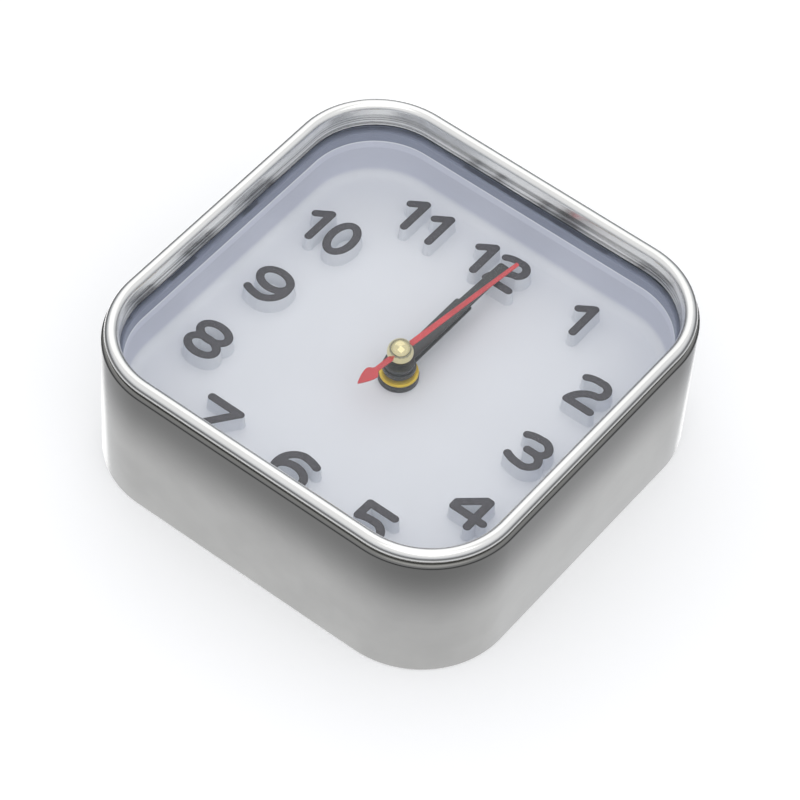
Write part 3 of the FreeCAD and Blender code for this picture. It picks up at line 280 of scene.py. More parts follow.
def square_ring(size, profile):
    """Carries a closed profile of (distance from the middle, level) round the rounded square."""
    feet, normals, core = square_path(size)
    reach, level = profile[:, 0] - core, profile[:, 1]
    flat = feet[:, None, :] + normals[:, None, :] * reach[None, :, None]
    heights = np.broadcast_to(level[None, :, None], flat.shape[:2] + (1,))
    return grid(np.concatenate([flat, heights], -1), True, True)


def level_ring(size, reach, level, round_off=False):
    """One ring of points: the rounded square at a reach, or the circle of that radius."""
    feet, normals, core = square_path(size)
    if round_off:
        outer = feet + normals
        flat = reach * outer / np.linalg.norm(outer, axis=1, keepdims=True)
    else:
        flat = feet + normals * (reach - core)
    return np.column_stack([flat, np.full(len(flat), level)])


def turned(profile, segments=64, centre=(0.0, 0.0), closed=True):
    """Turns a profile of (radius, level) about an upright axis at centre."""
    angles = np.linspace(0, 2 * math.pi, segments, endpoint=False)[:, None]
    radius, level = profile[None, :, 0], profile[None, :, 1]
    points = np.stack([centre[0] + radius * np.cos(angles), centre[1] + radius * np.sin(angles),
                       np.broadcast_to(level, (segments, profile.shape[0]))], -1)
    return grid(points, True, closed)


def washer(bore, outer, low, high, edge, bore_edge=0.1, segments=80):
    """A turned ring between two levels; its front edges are rounded by edge and bore_edge."""
    profile = rounded([(bore, low, 0.0), (outer, low, 0.1), (outer, high, edge),
                       (bore, high, bore_edge)], 5)
    return turned(profile, segments)


def reading(shape, degrees):
    """Turns a hand clockwise by a: x' = x cos a + y sin a, y' = y cos a - x sin a."""
    points, faces = shape
    a = math.radians(degrees)
    x, y = points[:, 0], points[:, 1]
    turned_x = x * math.cos(a) + y * math.sin(a)
    turned_y = y * math.cos(a) - x * math.sin(a)
    return np.column_stack([turned_x, turned_y, points[:, 2]]), faces


def blade(stations, middle, thickness, edge):
    """A flat hand: at each station (y, half width) a rounded rectangle, closed at both ends.

    Across the hand, the section runs round a rectangle of the half width and half thickness whose
    corners are quarter circles of the edge radius, shrunk where the hand is narrower.
    """
    stations = np.asarray(stations, float)
    place, half = stations[:, 0], stations[:, 1]
    quarter = np.repeat(np.arange(4), 5) * math.pi / 2
    turn = quarter + np.tile(np.linspace(0, math.pi / 2, 5), 4)
    unit = np.column_stack([np.cos(turn), np.sin(turn)])
    middles = quarter + math.pi / 4
    side = np.sign(np.column_stack([np.cos(middles), np.sin(middles)]))
    corner = np.minimum(edge, half * 0.9)[:, None]
    across = side[None, :, 0] * (half[:, None] - corner) + unit[None, :, 0] * corner
    tall = np.minimum(edge, thickness / 2)
    upward = side[None, :, 1] * (thickness / 2 - tall) + unit[None, :, 1] * tall
    upward = np.broadcast_to(upward, across.shape)
    along = np.broadcast_to(place[:, None], across.shape)
    return grid(np.stack([across, along, middle + upward], -1), False, True)


def tip_stations(end, half, corner, steps=8):
    """Stations of a blunt end: over the corner, at shares s of it, the half width falls by
    corner * (1 - sqrt(1 - s * s))."""
    share = np.sin(np.linspace(0, math.pi / 2, steps))
    place = end - corner * (1 - share)
    width = half - corner * (1 - np.sqrt(np.clip(1 - share ** 2, 0, 1)))
    return np.vstack([np.column_stack([place, width]), [[end, 0.0]]])


# Numerals. Strokes are (kind, points) in millimetres about the digit's middle: a line, an arc
# through three points, or an upright loop given by its centre and half axes.

DIGITS = {
    "0": [("loop", (0, 0), (3.6, 6.05))],
    "1": [("line", (-2.1, 2.85), (1.9, 5.65)), ("line", (2.0, 5.65), (2.0, -5.75))],
    "2": [("arc", (-4.3, 4.6), (-2.0, 5.5), (0.5, 5.65)),
          ("arc", (0.5, 5.65), (4.0, 3.4), (2.7, 0.6)),
          ("arc", (2.7, 0.6), (-2.0, -1.6), (-4.2, -5.6)), ("line", (-4.2, -5.6), (4.2, -5.6))],
    "3": [("arc", (-4.2, 4.65), (-2.1, 5.45), (0.2, 5.65)),
          ("arc", (0.2, 5.65), (3.4, 4.95), (4.65, 2.85)),
          ("arc", (4.65, 2.85), (3.8, 1.05), (1.2, 0.25)), ("line", (-0.9, 0.25), (1.2, 0.25)),
          ("arc", (1.2, 0.25), (3.9, -0.85), (4.65, -2.95)),
          ("arc", (4.65, -2.95), (3.2, -4.95), (0, -5.65)),
          ("arc", (0, -5.65), (-2.4, -5.35), (-4.6, -4.55))],
    "4": [("line", (1.3, 5.55), (2.4, 5.55)), ("line", (1.3, 5.55), (-5.2, -0.1)),
          ("line", (-5.2, -0.1), (-5.2, -1.95)), ("line", (-5.2, -1.95), (5.3, -1.95)),
          ("line", (2.4, 5.55), (2.4, -5.5))],
    "5": [("line", (-4.6, 5.7), (4.3, 5.7)), ("line", (-4.6, 5.7), (-4.75, 0.15)),
          ("arc", (-4.75, 0.15), (-2.3, 0.9), (0.2, 1.1)),
          ("arc", (0.2, 1.1), (3.5, 0.05), (4.8, -2.45)),
          ("arc", (4.8, -2.45), (3.5, -4.85), (0, -5.7)),
          ("arc", (0, -5.7), (-2.5, -5.45), (-4.9, -4.65))],
    "6": [("loop", (0.1, -2.35), (5.15, 3.55)), ("arc", (-5.2, -1.8), (-3.95, 3.35), (-0.15, 5.7)),
          ("arc", (-0.15, 5.7), (2.6, 5.45), (5.1, 4.7))],
    "7": [("line", (-5.3, 5.9), (5.3, 5.9)), ("line", (5.1, 5.8), (-3.6, -6.1))],
    "8": [("loop", (0, 2.93), (4.9, 3.1)), ("loop", (0, -2.93), (4.9, 3.1))],
    "9": [("loop", (-0.1, 2.35), (5.15, 3.55)), ("arc", (5.2, 1.8), (3.95, -3.35), (0.15, -5.7)),
          ("arc", (0.15, -5.7), (-2.6, -5.45), (-5.1, -4.7))],
}

# Each digit with the place of its middle, clockwise from one o'clock.
PLACES = [
    ("1", 29.6, 50.15), ("2", 49.5, 28.4), ("3", 48.8, -0.35), ("4", 49.1, -28.5),
    ("5", 29.5, -51.05), ("6", -0.1, -50.2), ("7", -29.7, -50.6), ("8", -49.9, -28.65),
    ("9", -49.15, -0.15), ("1", -54.6, 28.2), ("0", -44.2, 28.2), ("1", -34.8, 50.2),
    ("1", -25.4, 50.2), ("1", -8.1, 50.15), ("2", 2.9, 50.2),
]


def stroke_line(stroke):
    """Centre line of a stroke as points.

    A loop is its half axes times cos and sin. An arc turns about the middle m of the circle
    through its points p, where 2 (p - p0) . m = p . p - p0 . p0, from the first to the last.
    """
    kind, points = stroke[0], np.array(stroke[1:], float)
    if kind == "line":
        return points
    if kind == "loop":
        turn = np.linspace(0, 2 * math.pi, 73)
        return points[0] + points[1] * np.column_stack([np.cos(turn), np.sin(turn)])
    first, second, third = points
    system = 2 * np.array([second - first, third - first])
    squares = [second @ second - first @ first, third @ third - first @ first]
    middle = np.linalg.solve(system, squares)
    angles = np.unwrap([math.atan2(*(point - middle)[::-1]) for point in points])
    turn = np.linspace(angles[0], angles[2], 25)
    radius = np.linalg.norm(first - middle)
    return middle + radius * np.column_stack([np.cos(turn), np.sin(turn)])


def stroke_runs(digit):
    """Short straight runs (start, end) of all strokes of a digit."""
    lines = [stroke_line(stroke) for stroke in DIGITS[digit]]
    return np.vstack([line[:-1] for line in lines]), np.vstack([line[1:] for line in lines])


def stroke_field(places, runs, half_width):
    """Signed distance to a digit's outline: nearest distance to any run, less half the stroke."""
    start, end = runs
    along = end - start
    offset = places[:, None, :] - start[None]
    share = np.clip((offset * along).sum(-1) / (along ** 2).sum(-1), 0, 1)
    gap = np.linalg.norm(offset - along * share[..., None], axis=-1)
    return gap.min(1) - half_width


def outline_of(field, shape, places):
    """The zero line of a sampled field, marched over triangles.

    Each cell is cut along its diagonal. A triangle with corners on both sides gives one segment
    between two crossings, each found on its edge by linear interpolation, with the inside on the
    left. Returns the crossings and the segments between them.
    """
    index = np.arange(shape[0] * shape[1]).reshape(shape)
    low, right, top, left = index[:-1, :-1], index[:-1, 1:], index[1:, 1:], index[1:, :-1]
    triangles = np.vstack([np.stack([low, right, top], -1).reshape(-1, 3),
                           np.stack([low, top, left], -1).reshape(-1, 3)])
    inside = field[triangles] < 0
    count = inside.sum(1)
    crossed = (count == 1) | (count == 2)
    triangles, inside, count = triangles[crossed], inside[crossed], count[crossed]
    odd = np.where(count == 1, inside.argmax(1), (~inside).argmax(1))
    rows = np.arange(len(triangles))
    apex = triangles[rows, odd]
    ends = np.stack([triangles[rows, (odd + 1) % 3], triangles[rows, (odd + 2) % 3]], -1)
    ends[count == 2] = ends[count == 2][:, ::-1]
    pairs = np.sort(np.stack([np.stack([apex, apex], -1), ends], -1), -1).reshape(-1, 2)
    codes, segments = np.unique(pairs[:, 0] * len(field) + pairs[:, 1], return_inverse=True)
    first, second = codes // len(field), codes % len(field)
    share = field[first] / (field[first] - field[second])
    crossings = places[first] + (places[second] - places[first]) * share[:, None]
    return crossings, segments.reshape(-1, 2)


def raised_digit(digit, half_width, steps):
    """A digit's walls: its outline moved along the field's slope, by (offset, level) steps."""
    runs = stroke_runs(digit)
    low = np.vstack(runs).min(0) - half_width - 0.6
    high = np.vstack(runs).max(0) + half_width + 0.6
    xs, ys = np.arange(low[0], high[0], 0.24), np.arange(low[1], high[1], 0.24)
    across, upward = np.meshgrid(xs, ys)
    places = np.column_stack([across.ravel(), upward.ravel()])
    field = stroke_field(places, runs, half_width)
    line, segments = outline_of(field, across.shape, places)
    segments = segments[segments[:, 0] != segments[:, 1]]
    nudge = 0.02
    slope = np.column_stack([
        stroke_field(line + step, runs, half_width) - stroke_field(line - step, runs, half_width)
        for step in ([nudge, 0], [0, nudge])])
    slope /= np.maximum(np.linalg.norm(slope, axis=1, keepdims=True), 1e-9)
    line = line - slope * stroke_field(line, runs, half_width)[:, None]
    points = np.vstack([np.column_stack([line + slope * offset, np.full(len(line), level)])
                        for offset, level in steps])
    count = len(line)
    walls = []
    for k in range(len(steps) - 1):
        near, far = segments + k * count, segments + (k + 1) * count
        walls.append(np.column_stack([near[:, 0], near[:, 1], far[:, 1], far[:, 0]]))
    return points, np.vstack(walls), segments, count


def filled(line, segments):
    """Triangles, facing up, that fill closed outlines of points and segments between them."""
    outline = bpy.data.meshes.new("outline")
    flat = np.column_stack([line, np.zeros(len(line))])
    outline.from_pydata(flat.tolist(), segments.tolist(), [])
    work = bmesh.new()
    work.from_mesh(outline)
    bmesh.ops.triangle_fill(work, use_beauty=True, use_dissolve=False, edges=work.edges[:])
    work.to_mesh(outline)
    work.free()
    corners = np.empty(len(outline.loops), dtype=np.int32)
    outline.loops.foreach_get("vertex_index", corners)
    bpy.data.meshes.remove(outline)
    triangles = corners.reshape(-1, 3)
    first, second, third = (line[triangles[:, k]] for k in range(3))
    one, two = second - first, third - first
    turned_over = one[:, 0] * two[:, 1] < one[:, 1] * two[:, 0]
    triangles[turned_over] = triangles[turned_over][:, ::-1]
    return triangles


def numeral_mesh(size):
    """All numerals: drafted walls with a small foot and rounded top edge, and flat filled ends."""
    half_width = size["numeral_stroke"] / 2
    top = FACE + size["numeral_rise"]
    # Each step is an offset outwards and a level, then the shares of ink and of its dense edge.
    table = np.array([
        (0.5, FACE - 0.3, 0, 0), (0.5, FACE + 0.01, 0, 0), (0.32, FACE + 0.07, 0, 0),
        (0.22, FACE + 0.25, 0, 0), (0.02, top - 0.25, 0, 0), (-0.03, top - 0.1, 0.6, 1),
        (-0.12, top - 0.02, 1, 1), (-0.25, top, 1, 0.9), (-0.75, top, 1, 0)])
    steps, inked, rim = table[:, :2], table[:, 2], table[:, 3]
    points, quads, caps, ink_values, rim_values, base = [], [], [], [], [], 0
    for digit, x, y in PLACES:
        spots, walls, segments, count = raised_digit(digit, half_width, steps)
        ends = filled(spots[-count:, :2], segments)
        points.append(spots + [x, y, 0])
        quads.append(walls + base)
        caps += [ends[:, ::-1] + base, ends + base + (len(steps) - 1) * count]
        ink_values.append(np.repeat(inked, count))
        rim_values.append(np.repeat(rim, count))
        base += len(spots)
    mesh = bpy.data.meshes.new("dial_numerals")
    mesh.from_pydata(stand(np.vstack(points)).tolist(), [],
                     np.vstack(quads).tolist() + np.vstack(caps).tolist())
    for name, values in (("ink", ink_values), ("rim", rim_values)):
        layer = mesh.attributes.new(name, "FLOAT", "POINT")
        layer.data.foreach_set("value", np.concatenate(values).astype(np.float32))
    return mesh


# Finishes.

class Signal:
    """A number that varies over a surface. Arithmetic on it adds Math nodes."""

    def __init__(self, finish, socket):
        self.finish, self.socket = finish, socket

    def _math(self, operation, first, second):
        return self.finish.node("ShaderNodeMath", {"operation": operation}, first, second)

    def __add__(self, other):
        return self._math("ADD", self, other)

    def __sub__(self, other):
        return self._math("SUBTRACT", self, other)

    def __rsub__(self, other):
        return self._math("SUBTRACT", other, self)

    def __mul__(self, other):
        return self._math("MULTIPLY", self, other)

    def over(self, edge):
        return self._math("GREATER_THAN", self, edge)

    def ramp(self, low, high):
        """0 below low, 1 above high and smooth in between."""
        settings = {"interpolation_type": "SMOOTHSTEP", "data_type": "FLOAT"}
        return self.finish.node("ShaderNodeMapRange", settings, self, low, high, 0.0, 1.0)

    __radd__ = __add__
    __rmul__ = __mul__


class Finish:
    """One material, or the world, and the nodes that make it."""

    def __init__(self, name, kind="materials"):
        self.material = getattr(bpy.data, kind).new(name)
        self.material.use_nodes = True
        self.tree = self.material.node_tree
        self.tree.nodes.clear()

    def node(self, kind, settings, *values, out=0, **named):
        """Adds a node: its settings first, then the values or links of its sockets."""
        node = self.tree.nodes.new(kind)
        for key, setting in settings.items():
            if key == "stops":
                while len(node.color_ramp.elements) < len(setting):
                    node.color_ramp.elements.new(0.5)
                for element, (place, tone) in zip(node.color_ramp.elements, setting):
                    element.position, element.color = place, (*tone, 1)
            else:
                setattr(node, key, setting)
        for place, value in enumerate(values):
            self.feed(node.inputs[place], value)
        for key, value in named.items():
            self.feed(node.inputs[key.replace("_", " ")], value)
        return Signal(self, node.outputs[out]) if node.outputs else None

    def feed(self, socket, value):
        """Links a signal to a socket, or sets its value."""
        if isinstance(value, Signal):
            self.tree.links.new(value.socket, socket)
        else:
            socket.default_value = (*value, 1) if socket.type == "RGBA" else value

    def place(self):
        """Object coordinates in metres."""
        return self.node("ShaderNodeTexCoord", {}, out=3)

    def along(self, axis):
        """One of the object coordinates: 0, 1 or 2 for x, y or z."""
        return self.node("ShaderNodeSeparateXYZ", {}, self.place(), out=axis)

    def noise(self, per_metre, detail=2.0, stretch=None):
        """Cloudy noise of 0 to 1, stretched by a scale for each axis if given."""
        where = self.place()
        if stretch is not None:
            where = self.node("ShaderNodeMapping", {}, where, Scale=stretch)
        return self.node("ShaderNodeTexNoise", {}, Vector=where, Scale=per_metre, Detail=detail)

    def blend(self, share, first, second):
        """A colour between two, by share."""
        node = self.tree.nodes.new("ShaderNodeMix")
        node.data_type = "RGBA"
        sockets = {socket.identifier: socket for socket in (*node.inputs, *node.outputs)}
        for key, value in (("Factor_Float", share), ("A_Color", first), ("B_Color", second)):
            self.feed(sockets[key], value)
        return Signal(self, sockets["Result_Color"])

    def bump(self, height, distance_mm):
        return self.node("ShaderNodeBump", {}, Height=height, Distance=distance_mm * MM,
                         Strength=1.0)

    def done(self, **sockets):
        """Adds the surface shader with these sockets and returns the material."""
        shader = self.node("ShaderNodeBsdfPrincipled", {}, **sockets)
        self.node("ShaderNodeOutputMaterial", {}, shader)
        return self.material


def shade(tint, share):
    return tuple(min(1.0, channel * share) for channel in tint)


def satin_metal(name, tint, roughness, metallic=1.0):
    """Plated metal: faint clouding, fine grain and slightly uneven gloss."""
    finish = Finish(name)
    clouds = finish.noise(28, 3.0)
    grain = finish.noise(2600, 2.0)
    patches = finish.noise(140, 4.0)
    base = finish.blend(clouds.ramp(0.3, 0.7), shade(tint, 0.93), tint)
    gloss = roughness * (0.75 + patches * 0.3 + grain * 0.2)
    return finish.done(Base_Color=base, Metallic=metallic, Roughness=gloss,
                       Normal=finish.bump(grain * 0.5, 0.012))


def case_finish(tint):
    """Satin nickel with drawn lines round the band; its colour is painted darker towards the front
    shoulder, a painted reflection shade.
    """
    finish = Finish("satin_nickel")
    lines = finish.noise(60, 5.0, (1.0, 55.0, 1.0))
    grain = finish.noise(2600, 2.0)
    clouds = finish.noise(60, 4.0)
    # Painted reflection shade: this mask, and the blend with it below, darken the colour towards
    # the front shoulder.
    front = (finish.along(1) * -1.0).ramp(-6 * MM, 21 * MM)
    base = finish.blend(clouds.ramp(0.3, 0.7), shade(tint, 0.93), tint)
    base = finish.blend(front, base, shade(tint, 0.42))
    return finish.done(Base_Color=base, Metallic=1.0, Roughness=0.14 + lines * 0.1 + grain * 0.05,
                       Normal=finish.bump(lines * 0.6 + grain * 0.4, 0.012))


def rim_finish(tint):
    """Bright rolled metal: drawn lines along the wall under the bead, where the colour carries
    painted reflection streaks, and a painted shade at its foot.

    The tones change with the distance behind the clock's middle plane.
    """
    finish = Finish("bright_rim")
    y = finish.along(1)
    lines = finish.noise(20, 6.0, (0.6, 90.0, 0.6))
    clouds = finish.noise(28, 3.0)
    depth = y.ramp(-24.2 * MM, -23.0 * MM)
    # Painted reflection: dark and light streaks in the colour of the wall under the bead.
    painted_reflection_streaks = finish.blend(lines.ramp(0.42, 0.62), shade(tint, 0.42), shade(tint, 0.95))
    plain = finish.blend(clouds.ramp(0.3, 0.7), shade(tint, 0.95), tint)
    base = finish.blend(depth * 0.9, plain, painted_reflection_streaks)
    # Painted shade: the foot of the wall, in the crease, is painted nearly black.
    base = finish.blend(y.ramp(-19.5 * MM, -19.2 * MM), base, srgb(32, 36, 44))
    return finish.done(Base_Color=base, Metallic=1.0, Roughness=0.16 + lines * 0.12,
                       Normal=finish.bump(lines * depth, 0.02))


def moulded(name, tint, roughness=0.45, grain_mm=0.35, depth_mm=0.012, fade=0.94):
    """Moulded plastic: a fine eroded grain, soft flow clouds and a slightly uneven sheen."""
    finish = Finish(name)
    clouds = finish.noise(45, 3.0)
    grain = finish.noise(1000 / grain_mm, 3.0)
    base = finish.blend(clouds.ramp(0.25, 0.75), shade(tint, fade), tint)
    gloss = roughness + (grain - 0.5) * 0.16
    return finish.done(Base_Color=base, Roughness=gloss, Normal=finish.bump(grain, depth_mm))


def painted(name, tint, roughness):
    """Painted sheet: an even satin film with faint orange peel under a thin clear coat."""
    finish = Finish(name)
    peel = finish.noise(900, 2.0)
    clouds = finish.noise(160, 3.0)
    base = finish.blend(clouds.ramp(0.3, 0.7), shade(tint, 0.86), shade(tint, 1.08))
    gloss = roughness + (peel - 0.5) * 0.18
    return finish.done(Base_Color=base, Roughness=gloss, Normal=finish.bump(peel, 0.01),
                       Coat_Weight=0.25, Coat_Roughness=0.12)


def dial_finish(tint):
    """White moulding with a very fine matte grain; the wall above the face is painted darker as
    shade, with a cooler tint, a little lighter on the band above the step, and a painted highlight
    runs along the flange's edge.

    The tones change with the distance in front of the clock's middle plane.
    """
    finish = Finish("dial_white")
    forward = finish.along(1) * -1.0
    # Painted shade: the wall's colour darkens above the face; the band above the step is darkened
    # a little less.
    wall = forward.ramp(-0.2 * MM, 2.0 * MM)
    band = forward.ramp(10.3 * MM, 10.5 * MM)
    # Painted highlight: a lighter line along the flange's edge.
    line = forward.ramp(12.35 * MM, 12.7 * MM)
    grain = finish.noise(2300, 3.0)
    clouds = finish.noise(22, 2.0)
    base = finish.blend(clouds.ramp(0.3, 0.7), shade(tint, 0.97), tint)
    # The wall's darker tone is painted shade, with a cooler tint.
    cool_shade_tone = (tint[0] * 0.78, tint[1] * 0.79, tint[2] * 0.86)
    base = finish.blend(wall, base, cool_shade_tone)
    base = finish.blend(band, base, shade(cool_shade_tone, 1.1))
    base = finish.blend(line, base, shade(cool_shade_tone, 1.45))
    return finish.done(Base_Color=base, Roughness=0.5 + (grain - 0.5) * 0.15,
                       Normal=finish.bump(grain, 0.006))


def numeral_finish(side, ink):
    """White sides; tops hot-stamped dark with a mottled film that is denser along the edges."""
    finish = Finish("numeral_print")
    inked = finish.node("ShaderNodeAttribute", {"attribute_name": "ink"}, out=2)
    rim = finish.node("ShaderNodeAttribute", {"attribute_name": "rim"}, out=2)
    mottle = finish.noise(1500, 4.0)
    specks = finish.noise(5200, 2.0)
    film = finish.blend(mottle.ramp(0.35, 0.65), shade(ink, 0.78), shade(ink, 1.3))
    film = finish.blend(specks.ramp(0.5, 0.75) * 0.35, film, shade(ink, 1.9))
    film = finish.blend(rim * 0.65, film, shade(ink, 0.5))
    base = finish.blend(inked.ramp(0.3, 0.7), side, film)
    return finish.done(Base_Color=base, Roughness=0.5 - inked * 0.08 + (mottle - 0.5) * 0.2,
                       Normal=finish.bump(mottle * 0.5 + specks * 0.5, 0.012))


def glass_finish():
    """Clear glass: nearly see-through, with faint smears in its gloss."""
    finish = Finish("clear_glass_sheet")
    smear = finish.noise(30, 4.0)
    gloss = smear.ramp(0.45, 0.8) * 0.06 + 0.02
    return finish.done(Base_Color=(0.93, 0.95, 0.96), Roughness=gloss, Alpha=0.035)


def wound_finish(name, tint):
    """Enamelled wire: one ridge for each turn of 0.25 mm, as the sine of the place along x."""
    finish = Finish(name)
    phase = finish.along(0) * (2 * math.pi / (0.25 * MM))
    turns = finish.node("ShaderNodeMath", {"operation": "SINE"}, phase)
    clouds = finish.noise(700, 3.0)
    base = finish.blend(clouds.ramp(0.3, 0.7), shade(tint, 0.7), tint)
    return finish.done(Base_Color=base, Metallic=0.6, Roughness=0.32 + (clouds - 0.5) * 0.2,
                       Normal=finish.bump(turns, 0.05))


def board_finish(name):
    """Green lacquer over straight copper tracks, cut by a brick pattern."""
    finish = Finish(name)
    tracks = finish.node("ShaderNodeTexBrick", {}, Vector=finish.place(), Scale=260.0,
                         Mortar_Size=0.08, out=1)
    haze = finish.noise(500, 3.0)
    green = finish.blend(haze.ramp(0.3, 0.7), srgb(18, 78, 40), srgb(30, 104, 56))
    base = finish.blend(tracks, green, srgb(70, 140, 80))
    return finish.done(Base_Color=base, Roughness=0.3 + haze * 0.15,
                       Normal=finish.bump(tracks, 0.03), Coat_Weight=0.4, Coat_Roughness=0.15)


def battery_finish(name):
    """A plain sleeve, dark blue with a pale band at the button end, and bare steel ends."""
    finish = Finish(name)
    x = finish.along(0)
    haze = finish.noise(200, 3.0)
    blue = finish.blend(haze.ramp(0.3, 0.7), srgb(22, 52, 104), srgb(30, 66, 124))
    sleeve = finish.blend(x.over(13 * MM), blue, srgb(214, 196, 140))
    steel = x.over(24.9 * MM)
    return finish.done(Base_Color=finish.blend(steel, sleeve, srgb(200, 200, 196)), Metallic=steel,
                       Roughness=0.3 + haze * 0.12, Normal=finish.bump(haze, 0.01))


def repaint(material, *nodes):
    """Gives a finish to solid pieces that are shown in their own shape."""
    for name in nodes:
        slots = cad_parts[name].data.materials
        slots.clear()
        slots.append(material)


# Stage.

def upright_matrix(right, top, back, place):
    """Places a light or camera by its axes: it looks against back, with top upwards."""
    columns = np.column_stack([right, top, back, place])
    return Matrix(np.vstack([columns, [0, 0, 0, 1]]).tolist())


def pale_sheet(name, corners, glow):
    """A one-sided pale sheet that only the camera sees."""
    finish = Finish(name)
    haze = finish.noise(3, 2.0)
    base = finish.blend(haze.ramp(0.3, 0.7), srgb(236, 236, 236), srgb(241, 241, 241))
    surface = finish.node("ShaderNodeBsdfPrincipled", {}, Base_Color=base, Roughness=0.8,
                          Emission_Color=(1.0, 1.0, 1.0), Emission_Strength=glow)
    clear = finish.node("ShaderNodeBsdfTransparent", {})
    behind = finish.node("ShaderNodeNewGeometry", {}, out=6)
    finish.node("ShaderNodeOutputMaterial", {},
                finish.node("ShaderNodeMixShader", {}, behind, surface, clear))
    mesh = bpy.data.meshes.new(name)
    mesh.from_pydata(corners, [], [(0, 1, 2, 3)])
    mesh.materials.append(finish.material)
    thing = linked(name, mesh)
    thing.visible_shadow = thing.visible_diffuse = thing.visible_glossy = False


def soft_lamp(name, place, size, power):
    """A square soft light at a place, turned towards the middle of the clock."""
    light = bpy.data.lights.new(name, "AREA")
    light.size, light.energy = size, power
    thing = linked(name, light)
    target = np.array([0.0, 0.0, HALF_SIDE * MM])
    back = np.array(place) - target
    back = back / np.linalg.norm(back)
    side = np.cross([0.0, 0.0, 1.0], back)
    side = side / np.linalg.norm(side)
    thing.matrix_world = upright_matrix(side, np.cross(back, side), back, place)


# Operators, one for each piece or group of like pieces.

class CLOCK_OT_case(bpy.types.Operator):
    """Case band and beaded rim"""
    bl_idname = "clock.case"
    bl_label = "Case and rim"

    def execute(self, context):
        size, tint = sizes(), tints()
        bead_level = extent("bezel_ring")[2] - size["bead_radius"]
        flange, sheet = extent("case_shell")[2], size["sheet"]
        outer, inner = HALF_SIDE, HALF_SIDE - sheet
        band = rounded([
            (outer, 0.0, 0.45), (outer, flange, size["shoulder"]),
            (outer - CASE_FLANGE, flange, 0.2), (outer - CASE_FLANGE, flange - sheet, 0.2),
            (inner, flange - sheet, 0.4), (inner, sheet, 0.3), (outer - CASE_LIP, sheet, 0.2),
            (outer - CASE_LIP, 0.0, 0.2)])
        piece("case_band", square_ring(size, band), case_finish(tint["case_metal"]),
              "clock_body", "case_metal", "case_shell")
        # The bead's arc starts on the flange; then the wall leans in by the root of its share.
        bead, radius = size["bead_half"], size["bead_radius"]
        turn = np.linspace(-math.asin((bead_level - flange) / radius), math.pi, 29)
        arc = np.column_stack([bead + radius * np.cos(turn), bead_level + radius * np.sin(turn)])
        wall, end = bead - radius, bead_level - RIM_WALL_DROP
        foot = wall - RIM_WALL_LEAN
        share = np.linspace(0.15, 1, 9)[:-1]
        lean = np.column_stack([wall - RIM_WALL_LEAN * np.sqrt(share),
                                bead_level - RIM_WALL_DROP * share])
        rest = rounded([(foot, bead_level - 4, 0.0), (foot, end, 0.2),
                        (foot + RIM_WALL_SHEET, end, 0.2), (foot + RIM_WALL_SHEET, flange, 0.0)])
        piece("beaded_rim", square_ring(size, np.vstack([arc, lean, rest[1:]])),
              rim_finish(tint["bezel_metal"]), "clock_body", "bezel_metal", "bezel_ring")
        return {"FINISHED"}


class CLOCK_OT_glass(bpy.types.Operator):
    """Flat front glass and the soft ring behind it"""
    bl_idname = "clock.glass"
    bl_label = "Front glass"

    def execute(self, context):
        size, bevel = sizes(), 0.3
        half, back, front = extent("front_glass")
        rings = [level_ring(size, reach, back, True) for reach in (0, 6, 30)]
        rings += [level_ring(size, half - bevel, back), level_ring(size, half, back + bevel),
                  level_ring(size, half, front - bevel), level_ring(size, half - bevel, front)]
        rings += [level_ring(size, reach, front, True) for reach in (30, 6, 0)]
        piece("front_glass_sheet", grid(np.stack(rings), False, True), glass_finish(),
              "clock_body", "clear_glass", "front_glass")
        repaint(moulded("soft_rubber", srgb(40, 40, 42), 0.8, 0.2), "rear_washer")
        inner, foot = half - PAD_WIDTH, back - PAD_HEIGHT
        pad = rounded([(half, foot, 0.1), (half, back, 0.1), (inner, back, 0.1),
                       (inner, foot, 0.1)], 3)
        piece("soft_ring", square_ring(size, pad),
              moulded("grey_rubber", srgb(138, 145, 164), 0.8, 0.2),
              "clock_body", "black_rubber", "glass_gasket")
        return {"FINISHED"}


class CLOCK_OT_wall(bpy.types.Operator):
    """Blue-grey inner wall between glass and dial"""
    bl_idname = "clock.wall"
    bl_label = "Inner wall"

    def execute(self, context):
        size, tint = sizes(), tints()
        outer, back, front = extent("spacer_ring")
        foot, step, inner = extent("glass_gasket")[1], 67.15, 65.0
        ring = rounded([(outer, back, 0.2), (outer, front, 0.2), (step, front, 0.2),
                        (step, foot, 0.15), (inner, foot, 0.25), (inner, back, 0.1)], 4)
        piece("inner_wall", square_ring(size, ring),
              moulded("blue_grey_wall", tint["inner_wall"], 0.5, 0.3, 0.008),
              "clock_body", "blue_grey_plastic", "spacer_ring")
        return {"FINISHED"}


